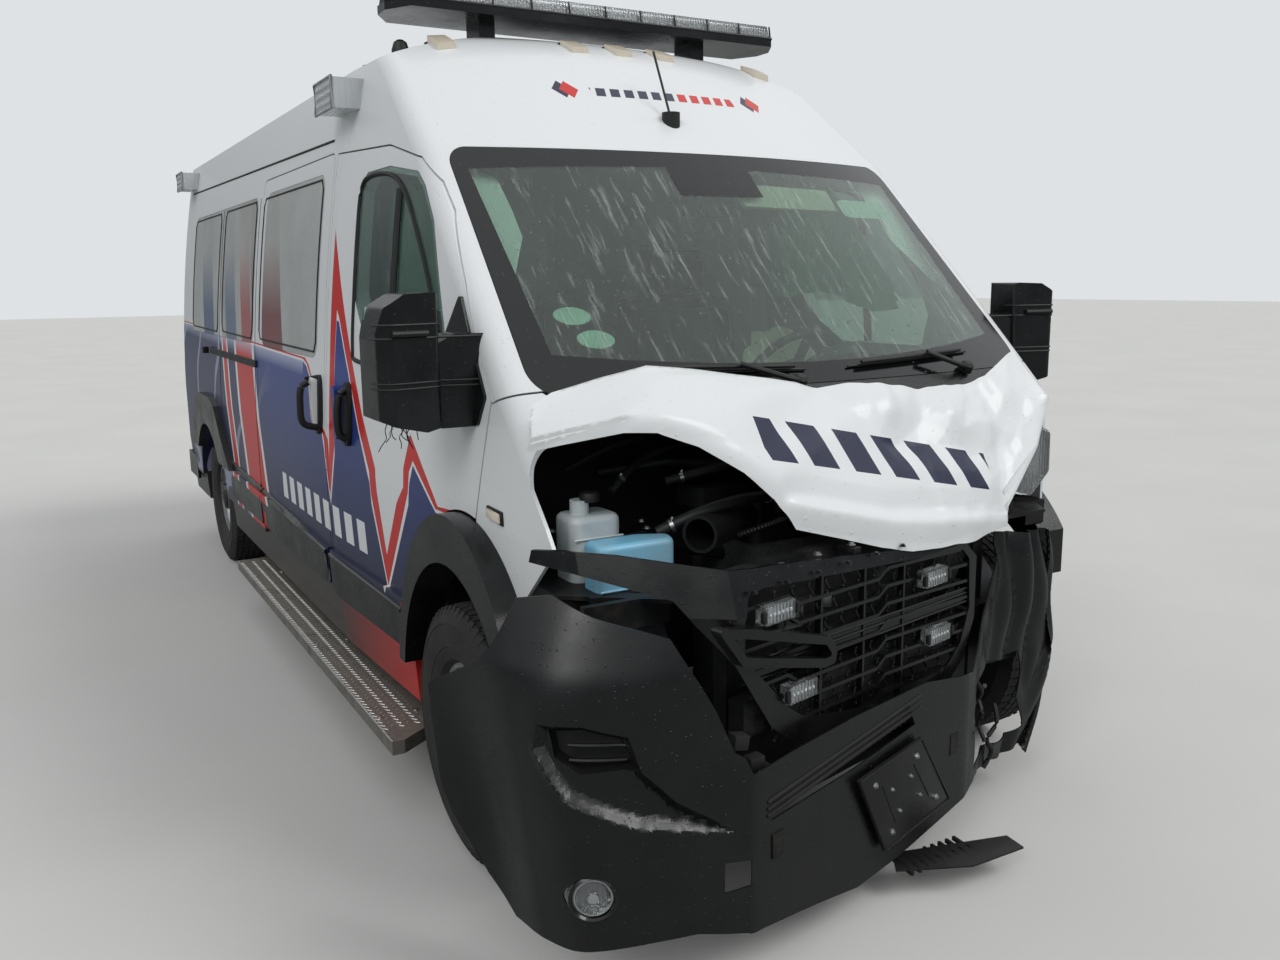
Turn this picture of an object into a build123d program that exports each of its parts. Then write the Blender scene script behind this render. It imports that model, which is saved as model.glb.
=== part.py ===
from build123d import *
import math
import os

# Van ambulance with a crushed front, at full size.
# Millimetres. X is the vehicle's left, Y is rearwards, Z is up.
# The origin is on the ground, in the middle of the vehicle's length and width.
# A station s is a distance rearwards from the front bumper's foremost plane.

# Overall
length = 5998.0
rear_face_s = 5960.0
half_width = 1025.0
roof_z = 2530.0
roof_edge_z = 2370.0

# Running gear
front_axle_s = 948.0
rear_axle_s = 4983.0
front_track = 1810.0
rear_track = 1790.0
tyre_radius = 372.0
tyre_width = 225.0
rim_radius = 203.0
rim_width = 178.0

# Shell
wall = 50.0
skin = 10.0
sill_z = 300.0
floor_top_z = 535.0
floor_thick = 50.0
belt_z = 1000.0
widest_z = 640.0
sill_tuck = 25.0
shoulder_z = 1600.0
shoulder_tuck = 40.0
edge_tuck = 158.0
cab_start_s = 2150.0
cab_taper = 94.0
pillar_radius = 70.0
roof_corner_radius = 124.0
panel_gap = 6.0
seal_gap = 0.3
glass_thick = 5.0

# Nose profile
nose_axis_s = 3824.0
hood_front_s = 200.0
screen_top_s = 1230.0
screen_top_z = 2040.0
brow_s = 1600.0
brow_z = 2330.0
crown_s = 2152.0
crown_z = 2520.0
screen_base_z = 1350.0

# Openings in the sides
roof_split_z = 2330.0
door_rear_s = 2225.0
door_front_s = 785.0
door_foot_s = 878.0
door_bottom_z = 470.0
slide_front_s = 2262.0
slide_rear_s = 3512.0
slide_top_z = 2100.0
slide_bottom_z = 500.0
rear_door_half = 781.0
rear_door_top_z = 2318.0
rear_door_bottom_z = 560.0
window_bottom_z = 1358.0
window_top_z = 2040.0
window_radius = 70.0

# Wheel openings
arch_front_half = 430.0
left_torn_s = 620.0
arch_front_rise = 500.0
arch_rear_radius = 460.0

# Running boards
board_front_s = 1290.0
board_rear_s = 3900.0
board_top_z = 245.0
board_thick = 45.0
board_inner_x = 925.0
board_outer_x = 1110.0


def ys(s):
    """Y of a station."""
    return s - length / 2


def block(x0, x1, s0, s1, z0, z1):
    """Box between two limits in each direction."""
    size = (abs(x1 - x0), abs(s1 - s0), abs(z1 - z0))
    centre = ((x0 + x1) / 2, ys((s0 + s1) / 2), (z0 + z1) / 2)
    return Pos(*centre) * Box(*size)


def across(x=0.0):
    """Plane seen from the vehicle's left, its local axes Y and Z."""
    return Plane(origin=(x, 0, 0), x_dir=(0, 1, 0), z_dir=(1, 0, 0))


def along(s=0.0):
    """Plane seen from the front, its local axes X and Z."""
    return Plane(origin=(0, ys(s), 0), x_dir=(1, 0, 0), z_dir=(0, -1, 0))


def flat(points, radius=0.0, grow=0.0):
    """Face of an outline, its corners rounded, then grown or shrunk."""
    turns = zip(points, points[1:] + points[:1])
    doubled_area = sum(a[0] * b[1] - b[0] * a[1] for a, b in turns)
    face = Polygon(*(points if doubled_area > 0 else points[::-1]), align=None)
    if radius:
        face = fillet(face.vertices(), radius)
    if grow:
        face = offset(face, grow, kind=Kind.INTERSECTION)
    return face


def prism_x(outline, x0, x1, radius=0.0, grow=0.0):
    """Outline of (s, z) points, carried from x0 to x1."""
    face = flat([(ys(s), z) for s, z in outline], radius, grow)
    return extrude(across(min(x0, x1)) * face, amount=abs(x1 - x0), dir=(1, 0, 0))


def prism_y(outline, s0, s1, radius=0.0, grow=0.0):
    """Outline of (x, z) points, carried from station s0 to s1."""
    face = flat(outline, radius, grow)
    return extrude(along(min(s0, s1)) * face, amount=abs(s1 - s0), dir=(0, 1, 0))


def prism_z(outline, z0, z1, radius=0.0, grow=0.0):
    """Outline of (x, s) points, carried from z0 to z1."""
    face = flat([(x, ys(s)) for x, s in outline], radius, grow)
    return extrude(Pos(0, 0, min(z0, z1)) * face, amount=abs(z1 - z0), dir=(0, 0, 1))


def mirrored(shape):
    """The same shape on the vehicle's other side."""
    return mirror(shape, about=Plane.YZ)


def rod(start, end, radius):
    """Round bar between two points, each (x, s, z)."""
    a = Vector(start[0], ys(start[1]), start[2])
    b = Vector(end[0], ys(end[1]), end[2])
    return extrude(Plane(origin=a, z_dir=b - a) * Circle(radius), amount=(b - a).length)


def wheel_x(x, s, profile):
    """Profile of (radius, offset along X) points, turned about a wheel's axle."""
    face = Polygon(*[(offset_x, radius) for radius, offset_x in profile], align=None)
    turned = revolve(face, Axis.X, 360)
    return Pos(x, ys(s), tyre_radius) * turned


# Body form
def upper_section(s, w):
    """Body section above the belt, its sides carried past the roof."""
    top_z = roof_z + 120
    top_w = w - edge_tuck - (top_z - roof_edge_z) * 0.218
    with BuildSketch(along(s)) as section:
        with BuildLine():
            Line((-w, belt_z), (w, belt_z))
            ThreePointArc((w, belt_z), (w - shoulder_tuck, shoulder_z), (top_w, top_z))
            Line((top_w, top_z), (-top_w, top_z))
            ThreePointArc((-top_w, top_z), (shoulder_tuck - w, shoulder_z), (-w, belt_z))
        make_face()
    return section.sketch


def roof_section(s, w, top, corner):
    """Body section with its crown and rounded roof edges."""
    edge_w = w - edge_tuck
    edge = top - (roof_z - roof_edge_z)
    with BuildSketch(along(s)) as section:
        with BuildLine():
            Line((-w, 0), (w, 0))
            Line((w, 0), (w, belt_z))
            ThreePointArc((w, belt_z), (w - shoulder_tuck, shoulder_z), (edge_w, edge))
            ThreePointArc((edge_w, edge), (0, top), (-edge_w, edge))
            ThreePointArc((-edge_w, edge), (shoulder_tuck - w, shoulder_z), (-w, belt_z))
            Line((-w, belt_z), (-w, 0))
        make_face()
        fillet([v for v in section.vertices() if v.Z > shoulder_z], corner)
    return section.sketch


def lower_section(s, w, bottom):
    """Body section below the belt, tucked in at the sill."""
    outline = [(w - sill_tuck, bottom), (w, widest_z), (w, belt_z)]
    other_side = [(-x, z) for x, z in reversed(outline)]
    return along(s) * Polygon(*outline, *other_side, align=None)


def tapered(section, *sizes, width):
    """Sections carried along the body, drawn in towards the nose."""
    ahead = -200.0
    drawn_in = cab_taper * (cab_start_s - ahead) / cab_start_s
    nose = section(ahead, width - drawn_in, *sizes)
    cab_end = section(cab_start_s, width, *sizes)
    cab = loft([nose, cab_end], ruled=True)
    return cab + extrude(cab_end, amount=cab_start_s - rear_face_s)


def nose_form(inset):
    """Solid behind the nose profile, which is turned about a far vertical axis."""
    def at(s, z):
        return (s - nose_axis_s + inset * math.sqrt(2), z)

    with BuildSketch(Plane(origin=(0, ys(nose_axis_s), 0), x_dir=(0, 1, 0), z_dir=(1, 0, 0))) as half:
        with BuildLine():
            screen = Polyline(
                at(hood_front_s, belt_z - 100),
                at(hood_front_s, belt_z),
                at(screen_top_s, screen_top_z),
                at(brow_s, brow_z),
            )
            brow = TangentArc(
                at(brow_s, brow_z),
                at(crown_s, crown_z),
                tangent=(brow_s - screen_top_s, brow_z - screen_top_z),
            )
            end = brow @ 1 + (brow % 1) * 600
            Line(brow @ 1, end)
            Polyline(end, (0, end.Y), (0, belt_z - 100), screen @ 0)
        make_face()
    return revolve(half.sketch, Axis((0, ys(nose_axis_s), 0), (0, 0, 1)), 360)


def body_form(inset=0.0, rear_inset=0.0):
    """Solid form of the body, pulled in all round by an inset."""
    width = half_width - inset
    top = roof_z - inset
    ahead = block(-2000, 2000, -1000, 3000, 0, 4000)
    upper = tapered(upper_section, width=width)
    front = (upper & ahead) & nose_form(inset)
    middle_s = ys(2900)
    pillar = [
        e for e in front.edges()
        if abs((e @ 0.5).X) > 500 and (e @ 0.5).Y < middle_s and abs((e @ 0).Z - (e @ 1).Z) > 10
    ]
    front = fillet(pillar, pillar_radius - inset)
    cover = tapered(roof_section, top, roof_corner_radius - inset, width=width + 4)
    upper = (front + (upper - ahead)) & cover
    bottom = sill_z if inset == 0 else 0.0
    lower = tapered(lower_section, bottom, width=width)
    nose_radius = nose_axis_s - hood_front_s - inset
    round_nose = Pos(0, ys(nose_axis_s), 500) * Cylinder(nose_radius, 1600)
    lower = (lower & ahead & round_nose) + (lower - ahead)
    form = upper + lower
    if rear_inset:
        form = form - block(-2000, 2000, rear_face_s - rear_inset, length + 500, -100, 4000)
    return form


outer_form = body_form()
inner_form = body_form(inset=wall, rear_inset=wall)
glass_form = body_form(inset=glass_thick)
seat_form = body_form(inset=glass_thick + seal_gap)
lining_form = body_form(inset=wall + seal_gap, rear_inset=wall + seal_gap)
shell = outer_form - inner_form
fender_skin = outer_form - body_form(inset=skin)
right_half = block(-2000, 0, -500, length + 500, -100, 4000)


# Outlines on the right side, as (s, z)
def side_face(outline, grow=0.0, radius=0.0):
    """Face of an outline seen from the side, grown or shrunk, with round corners."""
    return flat([(ys(s), z) for s, z in outline], radius, grow)


def side_cut(face, x0=700.0, x1=1300.0):
    """A side face carried through the right wall."""
    return extrude(across(-x1) * face, amount=x1 - x0, dir=(1, 0, 0))


flare_front_half = arch_front_half + 50
flare_front_rise = arch_front_rise + 140
front_wheel = Pos(ys(front_axle_s), tyre_radius)
flare_cut = side_cut(front_wheel * Ellipse(flare_front_half + panel_gap, flare_front_rise + panel_gap))
flare_seat = side_cut(front_wheel * Ellipse(flare_front_half + seal_gap, flare_front_rise + seal_gap))
pillar_line = [(door_front_s, 1335), (1004, 1634), (1177, 1835), (1269, 1922), (1390, 2001), (1669, 2065)]
door_outline = pillar_line + [
    (door_rear_s, 2092), (door_rear_s, door_bottom_z), (front_axle_s, door_bottom_z), (door_foot_s, 1000),
]
slide_outline = [
    (slide_front_s, slide_bottom_z),
    (slide_rear_s, slide_bottom_z),
    (slide_rear_s, slide_top_z),
    (slide_front_s, slide_top_z),
]
front_window = [
    (1105, 1500), (1236, 1815), (1327, 1920), (1396, 1965), (1645, 2002), (1862, 2000), (1929, 1950),
    (1925, 1600), (1797, 1452), (1633, 1366), (1150, 1366),
]
fender_outline = [
    (617, 700), (617, 823), (425, 1007), (466, 1057), (547, 1140), (561, 1188), (575, 1300),
    (560, 1394), (door_front_s - panel_gap, 1325), (door_foot_s - panel_gap, 990), (door_foot_s, 700),
]


def window(s0, s1):
    """Rectangular side window."""
    return [(s0, window_bottom_z), (s1, window_bottom_z), (s1, window_top_z), (s0, window_top_z)]


slide_window = window(slide_front_s + 110, slide_rear_s - 90)
quarter_window = window(slide_rear_s + 110, 5560)
left_window = window(slide_front_s + 110, slide_rear_s - 90)


def window_hole(outline, radius=window_radius):
    """Seat and hole for a pane, to be cut from a wall."""
    seat = side_cut(side_face(outline, radius=radius)) - seat_form
    hole = side_cut(side_face(outline, -18, radius))
    return seat + hole


def window_pane(outline, radius=window_radius):
    """Pane that fills a window's seat, flush with the skin."""
    region = side_cut(side_face(outline, -2, radius))
    return (outer_form - glass_form) & region


# Cladding and its flares, which stand proud of the skin
clad_proud = 14.0
clad_top_z = 650.0
clad_bottom_z = 462.0
clad_form = body_form(inset=-clad_proud)
rear_flare = [
    (4270, 652), (4480, 800), (4660, 965), (4800, 1003), (5170, 1003), (5310, 965), (5470, 820), (5560, 652),
]


def clad_strip(s0, s1):
    """Strip of cladding on the right side between two stations."""
    band = block(-1400, -700, s0, s1, clad_bottom_z, clad_top_z)
    return (clad_form - outer_form) & band


def clad_door(outline_face):
    """Cladding fused to the foot of a door."""
    return clad_strip(door_front_s, slide_rear_s) & side_cut(outline_face)


# Doors and side panels
def handle(s, z):
    """Upright pull handle on the right skin."""
    x = -(half_width - cab_taper * max(0.0, cab_start_s - s) / cab_start_s)
    grip = Pos(x, ys(s), z) * Box(50, 42, 190)
    grip = fillet(grip.edges().filter_by(Axis.X), 18)
    return grip - seated_form


seated_form = body_form(inset=seal_gap)
front_door_face = side_face(door_outline)
slide_face = side_face(slide_outline, radius=40)
front_arch = side_cut(front_wheel * Ellipse(arch_front_half, arch_front_rise))
rear_arch = side_cut(Pos(ys(rear_axle_s), tyre_radius) * Circle(arch_rear_radius))


def front_door_right():
    """Front door with its window hole, foot cladding and handle."""
    door = (shell & side_cut(front_door_face)) - window_hole(front_window, 25)
    door = door + clad_door(front_door_face) + handle(2020, 1190)
    return door - flare_cut


def sliding_door():
    """Sliding door, shut in its opening."""
    door = (shell & side_cut(slide_face)) - window_hole(slide_window)
    return door + clad_door(slide_face) + handle(2330, 1200)


roof_front_half = 800.0
roof_front_z = 2000.0
roof_region = block(-1300, 1300, -100, length + 100, roof_split_z, 2800)
roof_region += block(-roof_front_half, roof_front_half, -100, brow_s + 200, roof_front_z, 2800)
rear_opening = block(
    -rear_door_half, rear_door_half, rear_face_s - wall - 20, length + 50, rear_door_bottom_z, rear_door_top_z
)
screen_outline = [(-880, screen_base_z), (880, screen_base_z), (835, 2035), (-835, 2035)]
screen_corner = 65.0


def screen_cut(grow=0.0):
    """Windshield outline carried through the nose."""
    return prism_y(screen_outline, 300, 1600, screen_corner, grow)


screen_hole = screen_cut(-22) + (screen_cut() - seat_form)
pillar_foot_z = 1328.0
cowl_low_z = 1295.0
cowl_region = block(-800, 800, -300, cab_start_s, cowl_low_z, 1420)
fender_cut = side_cut(side_face(fender_outline, panel_gap))


hinge_rear_x = 784.0
hinge_rear_s = rear_face_s + 14
hinge_rear_z = (700.0, 1650.0, 2200.0)
hinge_leaf = 40.0
hinge_plate = 84.0
hinge_plate_thick = 8.0
barrel_radius = 9.0
hinge_pin_radius = 5.0
pin_clearance = 0.05


def rear_hinge_body():
    """Body halves of the right rear door's hinges, each with its pin."""
    halves = None
    for z in hinge_rear_z:
        half = rod((-hinge_rear_x, hinge_rear_s, z), (-hinge_rear_x, hinge_rear_s, z + hinge_leaf), barrel_radius)
        half += block(
            -hinge_rear_x - hinge_plate, -hinge_rear_x,
            rear_face_s, rear_face_s + hinge_plate_thick, z, z + hinge_leaf,
        )
        pin_top = z + 2 * hinge_leaf
        half += rod((-hinge_rear_x, hinge_rear_s, z), (-hinge_rear_x, hinge_rear_s, pin_top), hinge_pin_radius)
        halves = half if halves is None else halves + half
    return halves


def rear_hinge_door():
    """Door halves of the right rear door's hinges."""
    halves = None
    bore = hinge_pin_radius + pin_clearance
    for z in hinge_rear_z:
        low = z + hinge_leaf + seal_gap
        high = z + 2 * hinge_leaf
        half = rod((-hinge_rear_x, hinge_rear_s, low), (-hinge_rear_x, hinge_rear_s, high), barrel_radius)
        half += block(
            -hinge_rear_x, -hinge_rear_x + hinge_plate,
            rear_face_s, rear_face_s + hinge_plate_thick, low, high,
        )
        half -= rod((-hinge_rear_x, hinge_rear_s, low - 5), (-hinge_rear_x, hinge_rear_s, high + 5), bore)
        halves = half if halves is None else halves + half
    return halves


def side_wall(fixed_window, clad_from, slides):
    """Wall from the windshield pillar to the rear corner, on the right; the other side mirrors it."""
    panel = (shell & right_half) - roof_region - screen_hole
    panel = panel - fender_cut
    panel = panel - side_cut(side_face(door_outline, panel_gap)) - flare_cut
    if slides:
        panel = panel - side_cut(side_face(slide_outline, panel_gap, 40))
    panel = panel - rear_arch - front_arch - rear_opening
    panel = panel - block(-3000, 3000, -500, 1380, 0, pillar_foot_z) - cowl_region
    panel = panel - window_hole(fixed_window)
    ahead = clad_strip(clad_from, rear_axle_s)
    behind = clad_strip(rear_axle_s, corner_front_s - panel_gap)
    return panel + ((ahead + behind) - rear_arch) + rear_hinge_body()


pillar_inner_x = 850.0


def door_pillars():
    """Inner posts that the front doors close on, ahead of and behind each door."""
    hinge_post = block(-1100, -pillar_inner_x, 790, 905, 700, pillar_foot_z - seal_gap) & lining_form
    hinge_post = hinge_post - mirrored(house_bore(front_axle_s, house_radius_front + seal_gap, 0)) - flare_seat
    latch_post = block(-1100, -900, 2170, slide_front_s - 42 - seal_gap, floor_top_z + seal_gap, 2000) & lining_form
    posts = hinge_post + latch_post
    return posts + mirrored(posts)


def roof():
    """High roof with its brow and rear header."""
    return (shell & roof_region) - screen_hole - rear_opening


def rear_door_right():
    """Right rear door with its window."""
    gap = panel_gap / 2
    door = block(
        -rear_door_half + panel_gap, -gap, rear_face_s - wall, rear_face_s,
        rear_door_bottom_z + panel_gap, rear_door_top_z - panel_gap,
    )
    hole = rear_window(-18, rear_face_s - wall - 10, rear_face_s + 10)
    seat = rear_window(0, rear_face_s - glass_thick - seal_gap, rear_face_s + 10)
    grip = block(-130, -90, rear_face_s, rear_face_s + 25, 1050, 1250)
    return door - hole - seat + grip + rear_hinge_door()


def rear_window(grow, s0, s1):
    """Rear window's outline between two stations."""
    outline = [(-660, 1400), (-130, 1400), (-130, 2010), (-660, 2010)]
    return prism_y(outline, s0, s1, 50, grow)


def fender_right():
    """Front fender skin, from the headlamp hole to the door."""
    panel = fender_skin & side_cut(side_face(fender_outline))
    return panel - flare_seat - screen_cut(panel_gap) - cowl_region


def fender_left():
    """Left fender, its front end torn away in the crash."""
    return mirrored(fender_right()) - block(600, 1100, 0, left_torn_s, 700, 1500)


def front_flare_right():
    """Black flare round the front wheel opening."""
    outer = front_wheel * Ellipse(flare_front_half, flare_front_rise)
    inner = front_wheel * Ellipse(arch_front_half, arch_front_rise)
    return side_cut(outer - inner) & block(-1032, -915, 500, 1440, clad_bottom_z, 1100)


def rear_flare_right():
    """Black flare round the rear wheel opening."""
    region = side_cut(side_face(rear_flare)) & block(-1060, -1020, 4200, 5600, clad_top_z, 1100)
    return region - flush_form - rear_arch


flush_form = body_form(inset=-seal_gap)

# Ground to floor
floor_bottom_z = floor_top_z - floor_thick
rail_x = 430.0
rail_width = 80.0
king_lean = 10.0
king_low_x = 780.0
king_low_z = 245.0
pin_radius = 14.0
upright_low_z = 255.0
upright_high_z = 505.0
upright_radius = 40.0
strut_radius = 25.0
spindle_radius = 30.0
spindle_reach = 73.0
house_inner_x = 540.0
house_radius_front = 480.0
house_thick = 8.0
spring_x = 540.0
beam_z = 338.0
beam_radius = 36.0
leaf_eye_z = 394.0


def king_x(z):
    """How far out the steering axis is at a height."""
    return king_low_x - (z - king_low_z) * math.tan(math.radians(king_lean))


def king_rod(low_z, high_z, radius):
    """Round bar on the left wheel's steering axis."""
    return rod((king_x(low_z), front_axle_s, low_z), (king_x(high_z), front_axle_s, high_z), radius)


def house_bore(s, radius, inner_x):
    """Round space about a left wheel, open outwards."""
    face = Pos(ys(s), tyre_radius) * Circle(radius)
    return extrude(across(inner_x) * face, amount=1300 - inner_x)


def wheel_house(s, radius, inner_x, outer_x):
    """Half-round cover over a left wheel."""
    cover = house_bore(s, radius, inner_x) - house_bore(s, radius - house_thick, inner_x + house_thick)
    return cover & block(0, outer_x, 0, length, tyre_radius + 60, 2000)


def floor():
    """Load and cab floor with its wheel houses."""
    plate = lining_form & block(-1100, 1100, 1390, length, floor_bottom_z, floor_top_z)
    plate += block(-house_inner_x, house_inner_x, 845 + seal_gap, 1390, floor_bottom_z, floor_top_z)
    houses = [(rear_axle_s, arch_rear_radius, 740, 960), (front_axle_s, house_radius_front, house_inner_x, 900)]
    for s, radius, inner_x, outer_x in houses:
        bore = house_bore(s, radius, inner_x)
        house = wheel_house(s, radius, inner_x, outer_x)
        plate = plate - bore - mirrored(bore) + house + mirrored(house)
    return plate - flare_seat - mirrored(flare_seat)


def underframe():
    """Rails, cross members, front subframe, lower arms and struts."""
    half = rail_width / 2
    frame = block(-380, 380, 780, 1120, 250, 330)
    for s in (1500, 2200, 3000, 3800, 4400, 5500, 5860):
        frame += block(-rail_x, rail_x, s - 40, s + 40, 400, floor_bottom_z - seal_gap)
    side = block(rail_x - half, rail_x + half, 100, 5900, 385, floor_bottom_z - seal_gap)
    side += block(350, 410, 900, 1000, 250, 400)
    side += block(engine_half_x + seal_gap, rail_x - half, 560, 640, 400, 470)
    side += block(380, king_low_x, 915, 981, 218, 243)
    side += king_rod(225, upright_low_z, 32)
    side += king_rod(upright_low_z, 290, pin_radius)
    strut = king_rod(upright_high_z + seal_gap, 900, strut_radius)
    strut += king_rod(470, upright_high_z + seal_gap, pin_radius)
    strut = strut & house_bore(front_axle_s, house_radius_front - house_thick - seal_gap, 400)
    for s in (4350, 5620):
        side += block(rail_x, spring_x + 35, s - 30, s + 30, leaf_eye_z + seal_gap, 455)
    return frame + ((side + mirrored(side)) - ahead_of_rails()) + strut + mirrored(strut)


def knuckle_left():
    """Left steering knuckle with its spindle."""
    body = king_rod(upright_low_z + seal_gap, upright_high_z, upright_radius)
    reach = front_track / 2 - 82
    body += block(king_x(tyre_radius), reach, front_axle_s - 45, front_axle_s + 45, 320, 424)
    body += rod((reach, front_axle_s, tyre_radius), (front_track / 2 + spindle_reach, front_axle_s, tyre_radius),
                spindle_radius)
    body -= king_rod(upright_low_z - 20, 292, pin_radius + pin_clearance)
    body -= king_rod(468, upright_high_z + 20, pin_radius + pin_clearance)
    return body


def rear_axle():
    """Dead beam axle on two leaf springs."""
    reach = rear_track / 2 - 82
    beam = rod((-reach, rear_axle_s, beam_z), (reach, rear_axle_s, beam_z), beam_radius)
    leaf_top_z = beam_z - beam_radius + 4
    for side in (-1, 1):
        beam += rod(
            (side * reach, rear_axle_s, tyre_radius),
            (side * (rear_track / 2 + spindle_reach), rear_axle_s, tyre_radius),
            spindle_radius,
        )
        leaf = [
            (4320, 380), (4400, 378), (rear_axle_s, leaf_top_z - 16), (5570, 378), (5650, 380),
            (5650, leaf_eye_z), (5570, leaf_eye_z - 2), (rear_axle_s, leaf_top_z), (4400, leaf_eye_z - 2), (4320, leaf_eye_z),
        ]
        beam += prism_x(leaf, side * spring_x - 35, side * spring_x + 35)
        beam += block(side * spring_x - 45, side * spring_x + 45, 4930, 5036, leaf_top_z - 20, beam_z)
        beam += block(side * (reach - 60), side * reach, 4930, 5036, beam_z - 30, tyre_radius + 45)
    return beam


# Wheels
def tyre(x, s):
    """Tyre with rounded shoulders."""
    half = tyre_width / 2
    bead = rim_width / 2 - 9
    profile = [
        (rim_radius, -bead), (rim_radius, bead), (rim_radius + 14, bead + 20), (290, half), (342, half - 8),
        (tyre_radius - 6, half - 24), (tyre_radius, half - 42), (tyre_radius, 42 - half),
        (tyre_radius - 6, 24 - half), (342, 8 - half), (290, -half), (rim_radius + 14, -bead - 20),
    ]
    return wheel_x(x, s, profile)


def wheel(x, s, outward):
    """Steel wheel with its disc, vent holes, hub and brake disc; outward is 1 or -1 along X."""
    r = rim_radius - seal_gap
    bore = spindle_radius + pin_clearance
    profile = [
        (r, -79), (r, 79), (r - 14, 79), (r - 16, 60), (r - 30, 40), (150, 22), (105, 34), (92, 50),
        (62, 50), (62, 82), (0, 82), (0, spindle_reach + 1), (bore, spindle_reach + 1), (bore, -76),
        (130, -76), (130, -62), (75, -62), (75, 10), (150, 4), (r - 18, 20), (r - 14, -60), (r - 12, -79),
    ]
    turned = wheel_x(x, s, [(radius, outward * offset_x) for radius, offset_x in profile])
    vent_circle = 132.0
    for i in range(10):
        angle = math.radians(36 * i)
        y = ys(s) + vent_circle * math.cos(angle)
        z = tyre_radius + vent_circle * math.sin(angle)
        hole = Plane(origin=(x - outward * 10, y, z), z_dir=(outward, 0, 0)) * Circle(17)
        turned -= extrude(hole, amount=70)
    return turned


# Nose
crush_x = -668.0
crush_s = 0.0
crush_angle = 14.3
support_behind = 150.0
support_thick = 40.0
support_low_z = 330.0
support_top_z = 970.0
support_u0 = 69.0
support_u1 = 1249.0
rail_front_behind = support_behind + support_thick + seal_gap


def crushed(shape):
    """Place a shape of the pushed-in front: local X along it, local Y behind it."""
    return Pos(crush_x, ys(crush_s), 0) * Rot(0, 0, crush_angle) * shape


def crush_box(u0, u1, v0, v1, z0, z1):
    """Box in the pushed-in front's own frame."""
    centre = ((u0 + u1) / 2, (v0 + v1) / 2, (z0 + z1) / 2)
    return crushed(Pos(*centre) * Box(abs(u1 - u0), abs(v1 - v0), abs(z1 - z0)))


def crush_prism(outline, v0, v1, radius=0.0, grow=0.0):
    """Outline of (u, z) points in the pushed-in front, carried from v0 to v1 behind it."""
    plane = Plane(origin=(0, min(v0, v1), 0), x_dir=(1, 0, 0), z_dir=(0, -1, 0))
    return crushed(extrude(plane * flat(outline, radius, grow), amount=abs(v1 - v0), dir=(0, 1, 0)))


def crush_x_s(u, v=0.0):
    """(x, s) of a point u along the pushed-in front and v behind it."""
    turn = math.radians(crush_angle)
    x = crush_x + u * math.cos(turn) - v * math.sin(turn)
    return x, crush_s + u * math.sin(turn) + v * math.cos(turn)


def ahead_of_rails():
    """Everything ahead of the pushed-in radiator support."""
    return crush_box(-2000, 4000, -2000, rail_front_behind, -100, 2000)


shelf_front_s = 545.0
firewall_front_s = 815.0
firewall_rear_s = 845.0
hood_hinge_x = 660.0
hood_hinge_s = 500.0


def firewall():
    """Bulkhead between the engine bay and the cab, with the cowl shelf and the hood's hinges."""
    shelf_top = cowl_low_z - seal_gap
    shelf_low = shelf_top - 30
    half = pillar_inner_x - seal_gap
    plate = block(-half, half, firewall_front_s, firewall_rear_s, floor_bottom_z, shelf_top)
    plate += block(-half, half, shelf_front_s, firewall_front_s, shelf_low, shelf_top) & inner_form
    clear = house_bore(front_axle_s, house_radius_front + seal_gap, house_inner_x - seal_gap)
    plate = plate - clear - mirrored(clear)
    for x in (-hood_hinge_x, hood_hinge_x):
        arm = block(x - 15, x + 15, hood_hinge_s, 700, shelf_low, shelf_top)
        arm += block(x - 15, x + 15, hood_hinge_s, hood_hinge_s + 16, shelf_low, 1500)
        plate += arm - hood_sheet(-hood_thick - seal_gap, 400)
    return plate


engine_front_s = 465.0
engine_rear_s = 790.0
engine_half_x = 330.0
engine_top_z = 930.0


def engine_block():
    """Engine and gearbox as one plain block."""
    return block(-engine_half_x, engine_half_x, engine_front_s, engine_rear_s, 345, engine_top_z)


apron_top_z = 900.0


def fluid_tanks():
    """Coolant tank with its cap, washer bottle and fuel tank."""
    foot_z = apron_top_z + seal_gap
    coolant = prism_z([(-860, 500), (-720, 500), (-720, 620), (-860, 620)], foot_z, 1065, 30)
    coolant = fillet(coolant.faces().sort_by(Axis.Z)[-1].edges(), 18)
    coolant += Pos(-815, ys(555), 1075) * Cylinder(24, 50)
    washer = prism_z([(-850, 385), (-640, 385), (-620, 440), (-700, 480), (-850, 480)], foot_z, 1015, 25)
    washer = fillet(washer.faces().sort_by(Axis.Z)[-1].edges(), 15)
    fuel = block(480, 800, 2400, 3400, 270, floor_bottom_z - seal_gap)
    fuel = fillet(fuel.edges().filter_by(Axis.Y), 40)
    return coolant + washer + fuel


beam_top_z = 680.0


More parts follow.
